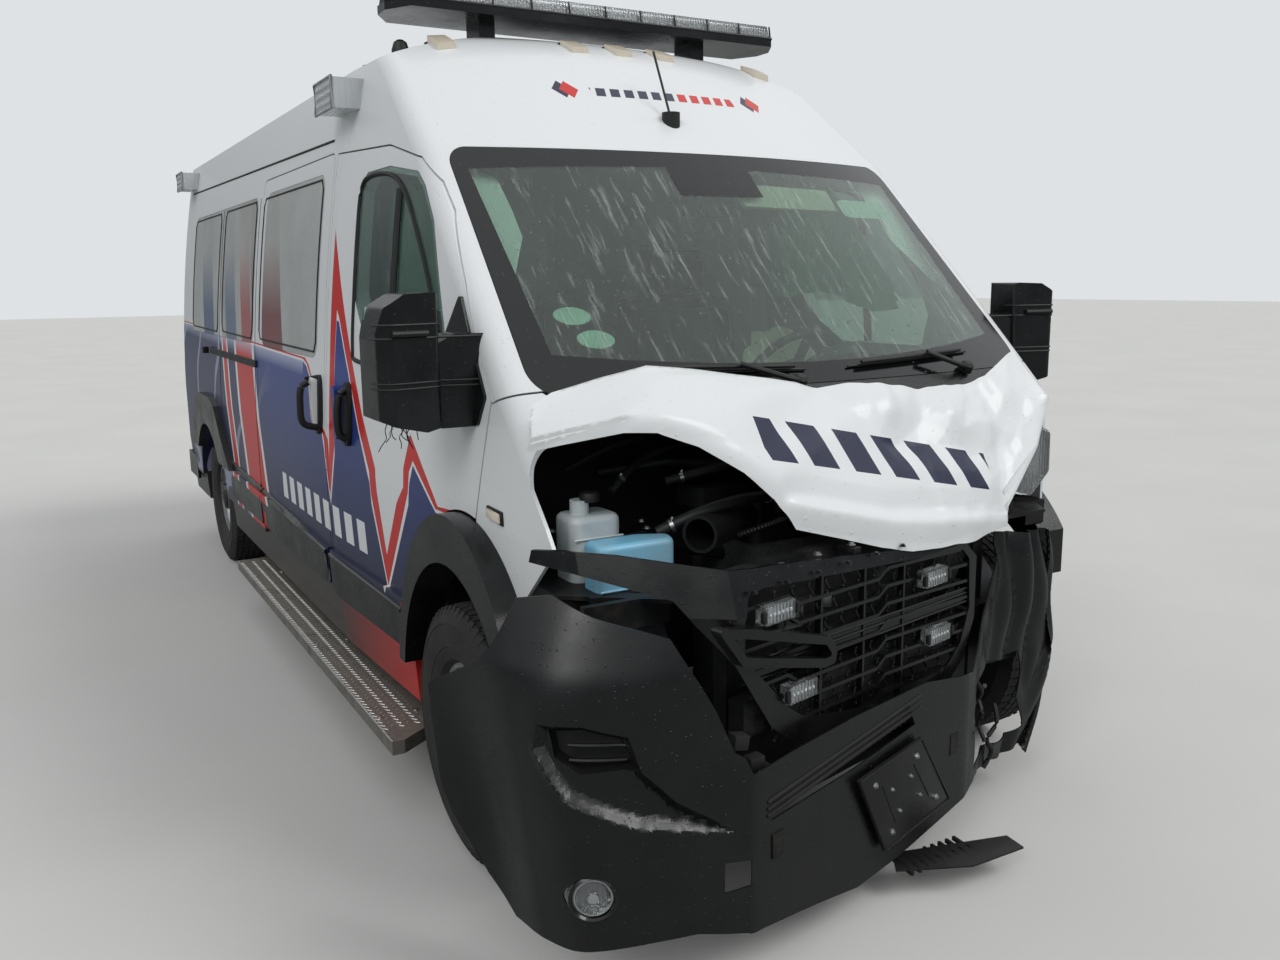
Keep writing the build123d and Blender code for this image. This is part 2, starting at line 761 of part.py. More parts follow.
def radiator_support():
    """Pushed-in front frame: radiator, crash beam, apron rails and the tanks' tray."""
    v0 = support_behind
    v1 = support_behind + support_thick
    beam_front = header_behind + grille_depth + 4
    beam_rear = beam_front + 46
    frame = crush_box(support_u0, support_u1, v0, v1, 890, support_top_z)
    frame += crush_box(support_u0, support_u1, v0, v1, support_low_z, 400)
    for u in (support_u0, support_u1 - 60):
        frame += crush_box(u, u + 60, v0, v1, support_low_z, support_top_z)
    core_front = v0 + 6
    frame += crush_box(support_u0 + 60, support_u1 - 60, core_front, v1 - 4, 400, 890)
    frame += crush_box(60, 1185, beam_front, beam_rear, 590, beam_top_z)
    for u in (220, 1000):
        frame += crush_box(u, u + 80, beam_rear, core_front, 600, 670)
        frame += crush_box(u - 150, u - 110, fascia_thick + seal_gap, v0, 320, 380)
    tab_top_z = 967
    tab_lean = header_lean * (tab_top_z - header_lean_z) / (header_top_z - header_lean_z)
    for u in (150, 500):
        tab_front = header_behind + header_thick + seal_gap + tab_lean
        frame += crush_box(u - 15, u + 15, tab_front, v0, tab_top_z - 14, tab_top_z)
    frame += left_lamp_bracket()
    fender_back = body_form(inset=skin + seal_gap)
    apron = block(-1000, -860, 430, 790 - seal_gap, 820, apron_top_z) & fender_back
    apron += prism_z([(-930, 430), (-860, 430), (-560, 190), (-600, 165)], 890, apron_top_z)
    apron += block(-880, -610, 370, 640, 888, apron_top_z)
    apron += block(-930, -700, 310, 330, 830, apron_top_z)
    left = mirrored(block(-1000, -860, left_torn_s - 20, 790 - seal_gap, 820, apron_top_z) & fender_back)
    left += prism_z([(505, 470), (820, 490), (900, 610), (862, 640), (560, 520)], 890, apron_top_z)
    frame += (apron - mirrored(house_clear(0))) + (left - house_clear(0))
    return frame - flare_seat - mirrored(flare_seat)


def house_clear(inner_x):
    """Space that the left front wheel house takes, with its seat gap."""
    return house_bore(front_axle_s, house_radius_front + seal_gap, inner_x)


def left_lamp_bracket():
    """Bracket from the radiator support to the left headlamp."""
    return block(560, 690, lamp_rear_s + seal_gap, lamp_rear_s + 12, 900, 1100) + block(
        500, 560, lamp_rear_s - 20, lamp_rear_s + 12, 900, support_top_z
    )


def hose(points, bend, radius):
    """Round hose along (x, s, z) points, its bends rounded."""
    route = FilletPolyline(*[(x, ys(s), z) for x, s, z in points], radius=bend)
    start = Plane(origin=route @ 0, z_dir=route % 0)
    return sweep(start * Circle(radius), path=route)


def engine_bay_pipes():
    """Air box with its intake, and two hoses over the engine."""
    top = engine_top_z + seal_gap
    box = prism_z([(-320, 500), (60, 500), (60, 740), (-320, 740)], top, 1060, 30)
    box = fillet(box.faces().sort_by(Axis.Z)[-1].edges(), 15)
    box += rod((-560, 395, 1010), (-300, 560, 1005), 48) - rod((-575, 385, 1010), (-400, 500, 1008), 40)
    upper = hose([(-720 + seal_gap, 540, 980), (-600, 540, 980), (-540, 640, 940), (-engine_half_x + 2, 640, 880)], 50, 20)
    lower = hose([(-200, 600, 1055), (-260, 600, 1130), (-480, 680, 1150), (-640, 780, 1120)], 60, 16)
    return box + (upper - block(-engine_half_x - 0.3, 400, 400, 800, 300, engine_top_z)) + lower


# Hood, as (x, s, z) along its front edge and its rear edge, right to left,
# and how far its middle is buckled up
hood_edges = [
    # front edge          rear edge            buckle
    ((-984, 480, 1257), (-941, 545, 1345), 0),
    ((-920, 430, 1275), (-881, 560, 1371), 6),
    ((-793, 360, 1301), (-760, 545, 1400), 14),
    ((-716, 330, 1303), (-637, 520, 1427), 24),
    ((-622, 300, 1266), (-500, 505, 1412), 36),
    ((-514, 270, 1195), (-380, 495, 1395), 52),
    ((-436, 250, 1122), (-260, 485, 1380), 66),
    ((-378, 240, 1044), (-130, 480, 1364), 78),
    ((-106, 230, 963), (60, 480, 1345), 84),
    ((2, 230, 938), (247, 480, 1323), 46),
    ((225, 250, 929), (400, 500, 1322), 88),
    ((432, 300, 940), (560, 530, 1334), 40),
]
hood_left_edge = [(440, 320, 1036), (659, 400, 1138), (780, 470, 1262), (757, 600, 1398)]
hood_rows = (0.0, 0.09, 0.42, 0.74, 1.0)
hood_lip = 14.0
hood_thick = 14.0


def hood_grid():
    """Rows of points of the crumpled hood, front row first."""
    rows = []
    for i, share in enumerate(hood_rows):
        row = []
        for j, (front, rear, buckle) in enumerate(hood_edges):
            x, s, z = [a + (b - a) * share for a, b in zip(front, rear)]
            arch = 4 * share * (1 - share)
            fold = 1.0 if (i + j) % 2 else 0.72
            z += arch * buckle * fold
            if i == 1:
                s -= hood_lip
                z += hood_lip
            row.append((x, s, z))
        rows.append(row)
    for row, corner in zip(rows[1:], hood_left_edge):
        row.append(corner)
    rows[0].append((470, 330, 985))
    return rows


def hood_sheet(low, high):
    """Faceted solid between two heights above the hood's points."""
    rows = [[Vector(x, ys(s), z) for x, s, z in row] for row in hood_grid()]
    top = [[p + Vector(0, 0, high) for p in row] for row in rows]
    base = [[p + Vector(0, 0, low) for p in row] for row in rows]
    faces = []

    def patch(a, b, c, d):
        faces.append(Face(Wire.make_polygon([a, b, c])))
        faces.append(Face(Wire.make_polygon([a, c, d])))

    last_row = len(rows) - 1
    last = len(rows[0]) - 1
    for i in range(last_row):
        for j in range(last):
            patch(top[i][j], top[i][j + 1], top[i + 1][j + 1], top[i + 1][j])
            patch(base[i][j], base[i + 1][j], base[i + 1][j + 1], base[i][j + 1])
    for j in range(last):
        patch(top[0][j], base[0][j], base[0][j + 1], top[0][j + 1])
        patch(top[last_row][j], top[last_row][j + 1], base[last_row][j + 1], base[last_row][j])
    for i in range(last_row):
        patch(top[i][0], top[i + 1][0], base[i + 1][0], base[i][0])
        patch(top[i][last], base[i][last], base[i + 1][last], top[i + 1][last])
    return Solid(Shell(faces))


def hood():
    """Crumpled hood, its right corner sprung up over the missing headlamp."""
    return hood_sheet(-hood_thick, 0)


# Torn fascia: plan lines as (x, s) from the right wheel arch to the left one, at four heights
fascia_thick = 5.0
fascia_end = crush_x_s(940)
fascia_plan = {
    40: [(-1125, 550), (-1085, 430), (-1065, 250), (-1010, 130), (-850, 60), (crush_x, crush_s),
         fascia_end, (480, 360), (700, 410), (740, 470)],
    450: [(-1212, 550), (-1140, 430), (-1120, 250), (-1060, 115), (-880, 40), (crush_x, crush_s),
          fascia_end, (500, 370), (862, 436), (880, 492)],
    790: [(-1240, 550), (-1195, 430), (-1150, 270), (-1060, 140), (-860, 45), (crush_x, crush_s),
          fascia_end, (520, 375), (790, 425), (805, 490)],
    1000: [(-1185, 560), (-1135, 450), (-1085, 330), (-990, 205), (-850, 110), (crush_x, crush_s + 1),
           fascia_end, (520, 405), (780, 450), (790, 492)],
}
fascia_outline = [
    (-1300, 690), (-1238, 700), (-1197, 757), (-1150, 850), (-1100, 950), (-1045, 968), (-985, 926),
    (-846, 880), (-815, 815), (-710, 600), (-668, 550), (-282, 573), (24, 572), (200, 540), (285, 530),
    (358, 623), (505, 813), (520, 880), (800, 850), (840, 780), (900, 500), (870, 270), (740, 110),
    (305, 172), (-81, 114), (-263, 100), (-621, 157), (-800, 188), (-1012, 170), (-1092, 130), (-1300, 110),
]
recess_outline = [(-1135, 745), (-925, 700), (-895, 600), (-1080, 565), (-1125, 620)]
recess_depth = 40.0
fog_place = (-1025.0, 135.0, 305.0)
fog_radius = 45.0
fog_turn = -28.0
slot_outline = [(63, 480), (640, 540), (665, 462), (71, 417)]
torn_outline = [(330, 470), (470, 500), (640, 470), (690, 190), (340, 180)]
plate_outline = [(380, 411), (669, 438), (829, 206), (509, 171)]


def fascia_form(inset=0.0):
    """Solid behind the torn fascia's face."""
    sections = []
    for z, line in fascia_plan.items():
        closed = line + [(600, 1300), (-600, 1300)]
        sections.append(Pos(0, 0, z) * flat([(x, ys(s)) for x, s in closed], grow=-inset))
    return loft(sections, ruled=True)


def fog_axis(ahead, behind, radius):
    """Cylinder on the right fog lamp's axis."""
    x, s, z = fog_place
    turned = Pos(x, ys(s), z) * Rot(0, 0, fog_turn) * Rot(90, 0, 0)
    return turned * Pos(0, 0, (ahead - behind) / 2) * Cylinder(radius, ahead + behind)


def bumper():
    """Front fascia, knocked to the vehicle's right, torn at the grille and crushed on the left."""
    reach = block(-1400, 0, -100, 553, 0, 1200) + block(0, 1400, -100, 490, 0, 1200)
    face = (fascia_form() - fascia_form(fascia_thick)) & prism_y(fascia_outline, -100, 700) & reach
    mouth = prism_y(recess_outline, -100, 400, 20)
    face = face - mouth - fog_axis(200, 60, fog_radius + seal_gap)
    face -= crush_prism(slot_outline, -60, 60, 12)
    face -= prism_y(torn_outline, 100, 560, 25)
    face -= block(-735, -665, -50, 80, 280, 345)
    rim = prism_y(recess_outline, -100, 400, 20, 4)
    pocket = (fascia_form() - fascia_form(recess_depth)) & (rim - mouth)
    pocket += (fascia_form(recess_depth - 4) - fascia_form(recess_depth)) & rim
    face += pocket
    for share in (0.33, 0.66):
        low = 417 + 63 * share
        face += crush_prism([(68, low), (650, low + 52), (650, low + 62), (68, low + 10)], 0.5, fascia_thick)
    face += crush_prism(plate_outline, -8, 0.5, 10)
    return face


header_behind = 58.0
header_thick = 8.0
grille_depth = 26.0
header_lean = 55.0
header_lean_z = 900.0
header_top_z = 1060.0
grille_opening = [
    (29, 800), (29, 888), (55, 940), (110, 946), (965, 884), (1005, 850), (1016, 705), (973, 608),
    (922, 568), (871, 540), (665, 525), (430, 560), (250, 600), (190, 640),
]
grille_outline = [
    (-1045, 1028), (-1030, 1004), (-953, 986), (-788, 935), (-759, 890), (-690, 800), (-560, 610),
    (-470, 540), (-300, 505), (-40, 470), (170, 478), (280, 560), (345, 700), (330, 850), (275, 895),
    (253, 908), (-84, 940), (-540, 988), (-599, 992), (-777, 1016), (-872, 1030), (-960, 1036),
]
lamp_places = ((138, 889), (813, 836), (228, 675), (840, 667))
lamp_half_width = 52.0
lamp_half_height = 22.0
slat_count = 8
slat_thick = 9.0


def header_form(inset=0.0):
    """Solid behind the grille header, which wraps round to the right headlamp's hole."""
    sections = []
    for z, back in ((440, 0), (header_lean_z, 0), (header_top_z, header_lean)):
        line = [(-1030, 372), (-950, 262), (-790, 140), crush_x_s(0, header_behind), crush_x_s(1045, header_behind)]
        line = [(x, s + back) for x, s in line] + [(500, 1200), (-600, 1200)]
        sections.append(Pos(0, 0, z) * flat([(x, ys(s)) for x, s in line], grow=-inset))
    return loft(sections, ruled=True)


def slat(z_left):
    """One wavy slat across the grille, stepped up by the height of the lamps."""
    z = z_left
    step = 26.0
    top = [(20, z + step), (190, z + step), (230, z), (560, z - 8), (600, z + step - 12), (1010, z + step - 32)]
    low = [(u, height - slat_thick) for u, height in reversed(top)]
    return crush_prism(top + low, header_behind + 4, header_behind + grille_depth)


def grille():
    """Grille: its header and frame in one moulding, wavy slats and a bare centre bar."""
    reach = block(-1400, 1400, -100, 400, 0, 1200)
    frame = (header_form() - header_form(header_thick)) & prism_y(grille_outline, -100, 700) & reach
    frame -= crush_prism(grille_opening, header_behind - 80, header_behind + 80, 14)
    frame -= crush_box(0, 1300, header_behind + grille_depth, 500, 400, beam_top_z + 10)
    bars = None
    for i in range(slat_count):
        bar = slat(555 + i * 48)
        bars = bar if bars is None else bars + bar
    bars += crush_prism([(30, 738), (1010, 722), (1010, 762), (30, 786)], header_behind + 10, header_behind + 16)
    for u in (320, 500, 680):
        bars += crush_box(u - 4, u + 4, header_behind + 6, header_behind + 24, 520, 940)
    field = crush_prism(grille_opening, header_behind, header_behind + 40, 14, 4)
    bars = bars & field
    for u, z in lamp_places:
        bars -= crush_box(
            u - lamp_half_width - seal_gap, u + lamp_half_width + seal_gap, 0, header_behind + 18,
            z - lamp_half_height - seal_gap, z + lamp_half_height + seal_gap,
        )
    trim = [(8, 883), (309, 795), (341, 756), (332, 722), (291, 720), (61, 780), (-9, 800), (-95, 905)]
    loop = crush_prism(trim, 30, header_behind + 2, 8) - crush_prism(trim, 20, header_behind + 10, 8, -22)
    return frame + bars + loop


lamp_front_s = 430.0
lamp_rear_s = 505.0
headlamp_outline = [(590, 985), (690, 965), (765, 1035), (762, 1165), (700, 1185), (610, 1130)]


def front_lamps():
    """Left headlamp, right fog lamp and four flashing lamps in the grille."""
    lens = prism_y(headlamp_outline, lamp_front_s, lamp_rear_s, 22)
    lens = fillet(lens.faces().sort_by(Axis.Y)[0].edges(), 16)
    lamps = lens + fog_axis(14, 60, fog_radius)
    for u, z in lamp_places:
        lamp = crush_box(
            u - lamp_half_width, u + lamp_half_width, header_behind - 14, header_behind + 18 - seal_gap,
            z - lamp_half_height, z + lamp_half_height,
        )
        lamps += lamp
    return lamps


def rear_bumper():
    """Rear step bumper with corner caps."""
    step = block(-1000, 1000, rear_face_s + seal_gap, length, 420, 540)
    for x in (-plate_hole_spacing / 2, plate_hole_spacing / 2):
        step -= Pos(x, ys(length), plate_hole_z) * Rot(90, 0, 0) * Cylinder(plate_hole_radius, 200)
    corner = block(900, 1035, corner_front_s, length, 400, 548)
    corner = corner - mirrored(flush_form)
    return step + corner + mirrored(corner)


corner_front_s = 5660.0


plate_hole_spacing = 177.8
plate_hole_z = 480.0
plate_hole_radius = 3.5


# Roof equipment
light_bar_s = 2016.0
light_bar_z = 2545.0


def light_bar():
    """Base of the warning light bar on two feet."""
    outline = [(-800, -40), (-740, -140), (740, -140), (800, -40), (800, 40), (740, 140), (-740, 140), (-800, 40)]
    plate = Pos(0, ys(light_bar_s), light_bar_z) * extrude(Polygon(*outline, align=None), amount=28)
    for x in (-440, 440):
        foot = block(x - 30, x + 30, light_bar_s - 60, light_bar_s + 60, 2400, light_bar_z + 2)
        plate += foot - flush_form
    return plate


def light_bar_lens():
    """Clear lens of the light bar."""
    outline = [(-795, -38), (-736, -134), (736, -134), (795, -38), (795, 38), (736, 134), (-736, 134), (-795, 38)]
    top = light_bar_z + 28 + seal_gap
    return Pos(0, ys(light_bar_s), top) * extrude(Polygon(*outline, align=None), amount=50, taper=12)


def roof_lamps():
    """Five marker lamps on the brow."""
    lamps = None
    for x, s in ((-647, 1860), (-176, 1800), (0, 1796), (176, 1800), (647, 1860)):
        lamp = Pos(x, ys(s), 2445) * Box(62, 100, 160)
        lamp = (lamp & body_form_lamps) - flush_form
        lamps = lamp if lamps is None else lamps + lamp
    return lamps


body_form_lamps = body_form(inset=-30)


def scene_lamps():
    """Flood lamps high on both sides, front and rear."""
    lamps = None
    for s in (2130, 5750):
        lamp = block(-985, -860, s - 110, s + 110, 2225, 2325) - flush_form
        lamps = lamp if lamps is None else lamps + lamp
    return lamps + mirrored(lamps)


def antenna():
    """Short rod aerial on its base, leaning back."""
    base = Pos(-40, ys(1370), 2150) * Cylinder(30, 60)
    return (base - flush_form) + rod((-40, 1370, 2160), (-40, 1480, 2390), 4)


# Inside
def partition():
    """Wall between the cab and the patient space, with a doorway."""
    wall_plate = block(-1100, 1100, slide_front_s - 42, slide_front_s - 12, floor_top_z + seal_gap, 2600)
    doorway = block(-300, 300, 2000, 2400, floor_top_z - 50, 2200)
    return (wall_plate & lining_form) - doorway


def dashboard():
    """Dashboard under the windshield."""
    front_s = firewall_rear_s + seal_gap
    outline = [(front_s, 870), (1150, 870), (1180, 1150), (1120, 1240), (front_s, 1270)]
    column = on_column(Pos(0, 0, -steering_hub_half - seal_gap - 120) * Cylinder(32, 240))
    return prism_x(outline, -800, 800, 25) + column


column_rise = 35.0
steering_centre = (440.0, 1330.0, 1290.0)
steering_hub_half = 25.0


def on_column(shape):
    """Place a shape on the steering column's axis, local Z towards the driver."""
    x, s, z = steering_centre
    return Pos(x, ys(s), z) * Rot(column_rise - 90, 0, 0) * shape


def steering_wheel():
    """Steering wheel with a hub and three spokes."""
    spokes = Box(370, 34, 16) + Pos(0, -95, 0) * Box(34, 170, 16)
    return on_column(Torus(190, 15) + Cylinder(55, 2 * steering_hub_half) + (spokes & Cylinder(190, 60)))


def seats():
    """Two cab seats."""
    all_seats = None
    for x in (-440, 440):
        base = block(x - 220, x + 220, 1560, 2040, floor_top_z + seal_gap, 820)
        cushion = prism_x([(1520, 820), (2060, 820), (2060, 930), (1520, 960)], x - 250, x + 250, 30)
        back = prism_x([(1980, 900), (2100, 900), (2190, 1560), (2090, 1560)], x - 250, x + 250, 30)
        head = prism_x([(2110, 1560), (2190, 1560), (2205, 1760), (2125, 1760)], x - 130, x + 130, 20)
        seat = base + cushion + back + head
        all_seats = seat if all_seats is None else all_seats + seat
    return all_seats


def patient_fittings():
    """Bench along the right wall and a cabinet wall on the left."""
    bench = block(-860, -430, 3600, 5400, floor_top_z + seal_gap, 980)
    bench = bench - mirrored(house_bore(rear_axle_s, arch_rear_radius + panel_gap, 735))
    cabinet = block(560, 860, 2400, 4500, floor_top_z + seal_gap, 1300)
    return bench + cabinet


def running_boards():
    """Side steps on brackets."""
    outline = [
        (-board_inner_x, board_front_s + 100), (-board_outer_x + 40, board_front_s),
        (-board_outer_x, board_front_s), (-board_outer_x, board_rear_s), (-board_inner_x, board_rear_s),
    ]
    board = prism_z(outline, board_top_z - board_thick, board_top_z)
    for s in (1500, 2350, 3550):
        board += block(-board_inner_x - 30, -rail_x - rail_width / 2 - seal_gap, s - 25, s + 25, 215, 240)
        board += block(-rail_x - 95, -rail_x - 40 - seal_gap, s - 25, s + 25, 215, 480)
    return board + mirrored(board)


def exhaust():
    """Pipe and silencer under the floor."""
    pipe = rod((-200, 1120 + seal_gap, 300), (-200, 4300, 300), 30)
    return pipe + block(-330, -90, 3050, 3700, 230, 365) + block(-215, -185, 3340, 3380, 360, 400 - seal_gap)


def tail_lamps():
    """Upright lamps on the rear corners."""
    lamp = block(-905, -815, rear_face_s + seal_gap, rear_face_s + 14, 1100, 1620)
    return lamp + mirrored(lamp)


sail_outline = [(808, 1342), (998, 1608), (1092, 1490), (1136, 1366), (1150, 1245), (850, 1265)]
mirror_head = [(-1052, 855), (-1195, 818), (-1222, 850), (-1230, 990), (-1058, 985)]
mirror_front = [(-1050, 1268), (-1100, 1258), (-1190, 1280), (-1232, 1300), (-1226, 1500), (-1205, 1578), (-1150, 1610), (-1050, 1614)]
mirror_foot = [(-1062, 1262), (-1062, 1480), (-1010, 1506), (-900, 1506), (-900, 1262)]


def mirror_right():
    """Tall door mirror with two glass recesses, on arms from a sail panel."""
    sail = (body_form(inset=-8) - flush_form) & side_cut(side_face(sail_outline, radius=12))
    head = prism_z(mirror_head, 1200, 1700, 20) & prism_y(mirror_front, 700, 1100, 16)
    for z0, z1 in ((1385, 1580), (1295, 1368)):
        head -= block(-1214, -1068, 970, 1100, z0, z1)
    foot = prism_y(mirror_foot, 868, 975, 12)
    return sail + head + (foot - flush_form)


def cowl():
    """Cowl grille and wipers under the windshield."""
    return (shell & cowl_region) - screen_hole


def cladding():
    """Flares round the wheel openings."""
    front = front_flare_right()
    front_left = mirrored(front) - block(800, 1100, 0, left_torn_s - 35, 300, 1200)
    return front + front_left + rear_flare_right() + mirrored(rear_flare_right())


def windshield():
    """Windshield, flush with the nose."""
    return (outer_form - glass_form) & screen_cut(-2)


pieces = {
    "floor": floor(),
    "side_right": side_wall(quarter_window, slide_rear_s + panel_gap, True),
    "side_left": mirrored(side_wall(left_window, door_rear_s + panel_gap, False)),
    "door_pillars": door_pillars(),
    "roof": roof(),
    "firewall": firewall(),
    "windshield": windshield(),
    "partition": partition(),
    "sliding_door": sliding_door(),
    "side_windows": window_pane(slide_window) + window_pane(quarter_window) + mirrored(window_pane(left_window)),
    "hood": hood(),
    "fender_right": fender_right(),
    "fender_left": fender_left(),
    "bumper": bumper(),
    "grille": grille(),
    "front_lamps": front_lamps(),
    "radiator_support": radiator_support(),
    "engine_block": engine_block(),
    "engine_bay_pipes": engine_bay_pipes(),
    "fluid_tanks": fluid_tanks(),
    "underframe": underframe(),
    "exhaust": exhaust(),
    "rear_axle": rear_axle(),
    "running_boards": running_boards(),
    "cladding": cladding(),
    "rear_bumper": rear_bumper(),
    "tail_lamps": tail_lamps(),
    "light_bar": light_bar(),
    "light_bar_lens": light_bar_lens(),
    "roof_lamps": roof_lamps(),
    "scene_lamps": scene_lamps(),
    "antenna": antenna(),
    "cowl": cowl(),
    "dashboard": dashboard(),
    "seats": seats(),
    "patient_fittings": patient_fittings(),
    "steering_wheel": steering_wheel(),
    "front_door_right": front_door_right(),
    "front_door_left": mirrored(front_door_right()),
    "door_glass_right": window_pane(front_window, 25),
    "door_glass_left": mirrored(window_pane(front_window, 25)),
    "mirror_right": mirror_right(),
    "mirror_left": mirrored(mirror_right()),
    "rear_door_right": rear_door_right(),
    "rear_door_left": mirrored(rear_door_right()),
    "rear_glass_right": rear_window(-2, rear_face_s - glass_thick, rear_face_s),
    "rear_glass_left": mirrored(rear_window(-2, rear_face_s - glass_thick, rear_face_s)),
    "knuckle_left": knuckle_left(),
    "knuckle_right": mirrored(knuckle_left()),
}
corners = {
    # name: side, station, track
    "front_right": (-1, front_axle_s, front_track),
    "front_left": (1, front_axle_s, front_track),
    "rear_right": (-1, rear_axle_s, rear_track),
    "rear_left": (1, rear_axle_s, rear_track),
}
for corner, (side, s, track) in corners.items():
    pieces["tyre_" + corner] = tyre(side * track / 2, s)
    pieces["wheel_" + corner] = wheel(side * track / 2, s, side)

os.makedirs("parts", exist_ok=True)
for name, shape in pieces.items():
    export_step(shape, "parts/" + name + ".step")
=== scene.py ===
"""Van ambulance with a crushed nose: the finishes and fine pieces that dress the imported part."""

import math
import random
from collections import Counter

import bmesh
import bpy
from mathutils import Matrix, Vector, noise
from mathutils.bvhtree import BVHTree
from mathutils.geometry import delaunay_2d_cdt


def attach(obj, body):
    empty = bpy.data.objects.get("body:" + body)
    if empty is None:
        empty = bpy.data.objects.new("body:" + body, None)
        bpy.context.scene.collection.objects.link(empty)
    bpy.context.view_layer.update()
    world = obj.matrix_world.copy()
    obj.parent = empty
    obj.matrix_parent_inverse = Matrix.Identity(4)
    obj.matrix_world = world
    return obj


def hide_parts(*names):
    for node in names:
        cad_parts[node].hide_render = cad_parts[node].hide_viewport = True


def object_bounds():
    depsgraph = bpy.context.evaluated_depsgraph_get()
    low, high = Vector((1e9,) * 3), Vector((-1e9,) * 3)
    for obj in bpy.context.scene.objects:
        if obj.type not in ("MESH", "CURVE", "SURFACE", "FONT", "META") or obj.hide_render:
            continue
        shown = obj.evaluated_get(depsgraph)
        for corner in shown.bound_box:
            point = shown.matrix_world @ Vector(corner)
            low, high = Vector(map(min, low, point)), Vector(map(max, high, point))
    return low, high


bl_info = {
    "name": "Crushed Van Ambulance",
    "version": (1, 0, 0),
    "blender": (4, 5, 0),
    "location": "View3D > Sidebar > Ambulance",
    "description": "Dresses the packed van ambulance with its finishes, wrap, trim and crash damage",
    "category": "Object",
}

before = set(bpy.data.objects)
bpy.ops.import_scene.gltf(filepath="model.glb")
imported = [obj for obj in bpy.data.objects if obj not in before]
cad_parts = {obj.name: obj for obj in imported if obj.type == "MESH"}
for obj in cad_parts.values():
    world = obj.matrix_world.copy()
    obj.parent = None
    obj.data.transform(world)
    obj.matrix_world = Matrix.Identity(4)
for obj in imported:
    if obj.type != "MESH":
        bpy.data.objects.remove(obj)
cad_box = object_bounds()
nose_y = cad_box[0].y

# Where the pushed-in front starts, in metres, and how far it is turned
crush_x = -0.668
crush_turn = math.radians(14.3)

# Camera: place as (x, s, z) in millimetres, yaw and pitch in degrees, roll in radians
camera_place = (-2006, -1842, 1639)
camera_yaw, camera_pitch = 29.7, -10.41
camera_roll = -0.0118

# Directions, and signs that many loops run over
upward = Vector((0, 0, 1))
rearward = Vector((0, 1, 0))
leftward = Vector((1, 0, 0))
both_sides = ((-1, "right"), (1, "left"))
corner_signs = ((-1, -1), (1, -1), (1, 1), (-1, 1))


# Places and colours
def station(s):
    """Y of a place s millimetres behind the nose."""
    return s / 1000 + nose_y


def at(x, s, z):
    """Point from millimetres: x to the left, s behind the nose, z up."""
    return Vector((x / 1000, station(s), z / 1000))


def pushed(u, v, z):
    """Point in the pushed-in front: u along it, v behind it, z up, in millimetres."""
    x = crush_x + (u * math.cos(crush_turn) - v * math.sin(crush_turn)) / 1000
    return Vector((x, nose_y + (u * math.sin(crush_turn) + v * math.cos(crush_turn)) / 1000, z / 1000))


def linear(code):
    """sRGB hex colour as linear RGBA."""
    channels = [int(code[i : i + 2], 16) / 255 for i in (0, 2, 4)]
    return (*[c / 12.92 if c <= 0.04045 else ((c + 0.055) / 1.055) ** 2.4 for c in channels], 1.0)


def add(tree, kind, sockets=None, **settings):
    """Add a node with its settings and inputs, and give its first output in use."""
    made = tree.nodes.new(kind)
    for name, value in settings.items():
        setattr(made, name, value)
    for key, value in (sockets or {}).items():
        if isinstance(key, str):
            socket = next(s for s in made.inputs if s.enabled and s.name == key)
        else:
            socket = made.inputs[key]
        if isinstance(value, bpy.types.NodeSocket):
            tree.links.new(value, socket)
        else:
            socket.default_value = value
    return next((s for s in made.outputs if s.enabled), None)


def calc(tree, operation, *values):
    """Result of a math node on its values or links."""
    return add(tree, "ShaderNodeMath", dict(enumerate(values)), operation=operation)


def ranged(tree, value, low, high, first=0.0, last=1.0, kind="LINEAR"):
    """Value carried from one range to another, held at its ends."""
    sockets = {"Value": value, "From Min": low, "From Max": high, "To Min": first, "To Max": last}
    return add(tree, "ShaderNodeMapRange", sockets, interpolation_type=kind)


def parted(tree, vector):
    """Outputs of a node that splits a vector, by the names X, Y and Z."""
    return add(tree, "ShaderNodeSeparateXYZ", {"Vector": vector}).node.outputs


def clouds_of(tree, place, scale, detail, roughness=0.5):
    """Cloudy noise from 0 to 1."""
    sockets = {"Vector": place, "Scale": scale, "Detail": detail, "Roughness": roughness}
    return add(tree, "ShaderNodeTexNoise", sockets)


def bumped(tree, height, relief):
    """Normal bumped by a height in units of relief metres."""
    return add(tree, "ShaderNodeBump", {"Height": height, "Distance": relief, "Strength": 1.0})


def started(name):
    """New node material: itself, its tree and its object coordinates."""
    made = bpy.data.materials.new(name)
    made.use_nodes = True
    tree = made.node_tree
    tree.nodes.clear()
    place = add(tree, "ShaderNodeTexCoord").node.outputs["Object"]
    return made, tree, place


def shaded(tree, sockets, height=None, relief=0.001):
    """End a material in one Principled shader, bumped by a height in units of relief metres."""
    if height is not None:
        sockets["Normal"] = bumped(tree, height, relief)
    shader = add(tree, "ShaderNodeBsdfPrincipled", sockets)
    add(tree, "ShaderNodeOutputMaterial", {"Surface": shader})


def blended(tree, factor, first, second):
    """Colour or link mixed from first to second by a factor."""
    return add(tree, "ShaderNodeMix", {"Factor": factor, "A": first, "B": second}, data_type="RGBA")


def droplets(tree, place, spacing, share):
    """Rain beads about spacing metres apart: height from 0 to 1 on a share of the cells."""
    cells = add(tree, "ShaderNodeTexVoronoi", {"Vector": place, "Scale": 1 / spacing, "Randomness": 1.0})
    near = cells.node.outputs["Distance"]
    chance = add(tree, "ShaderNodeSeparateColor", {"Color": cells.node.outputs["Color"]})
    size = ranged(tree, chance, 1 - share, 1.0, 0.0, 0.34)
    return ranged(tree, calc(tree, "SUBTRACT", size, near), 0.0, 0.12, kind="SMOOTHSTEP")


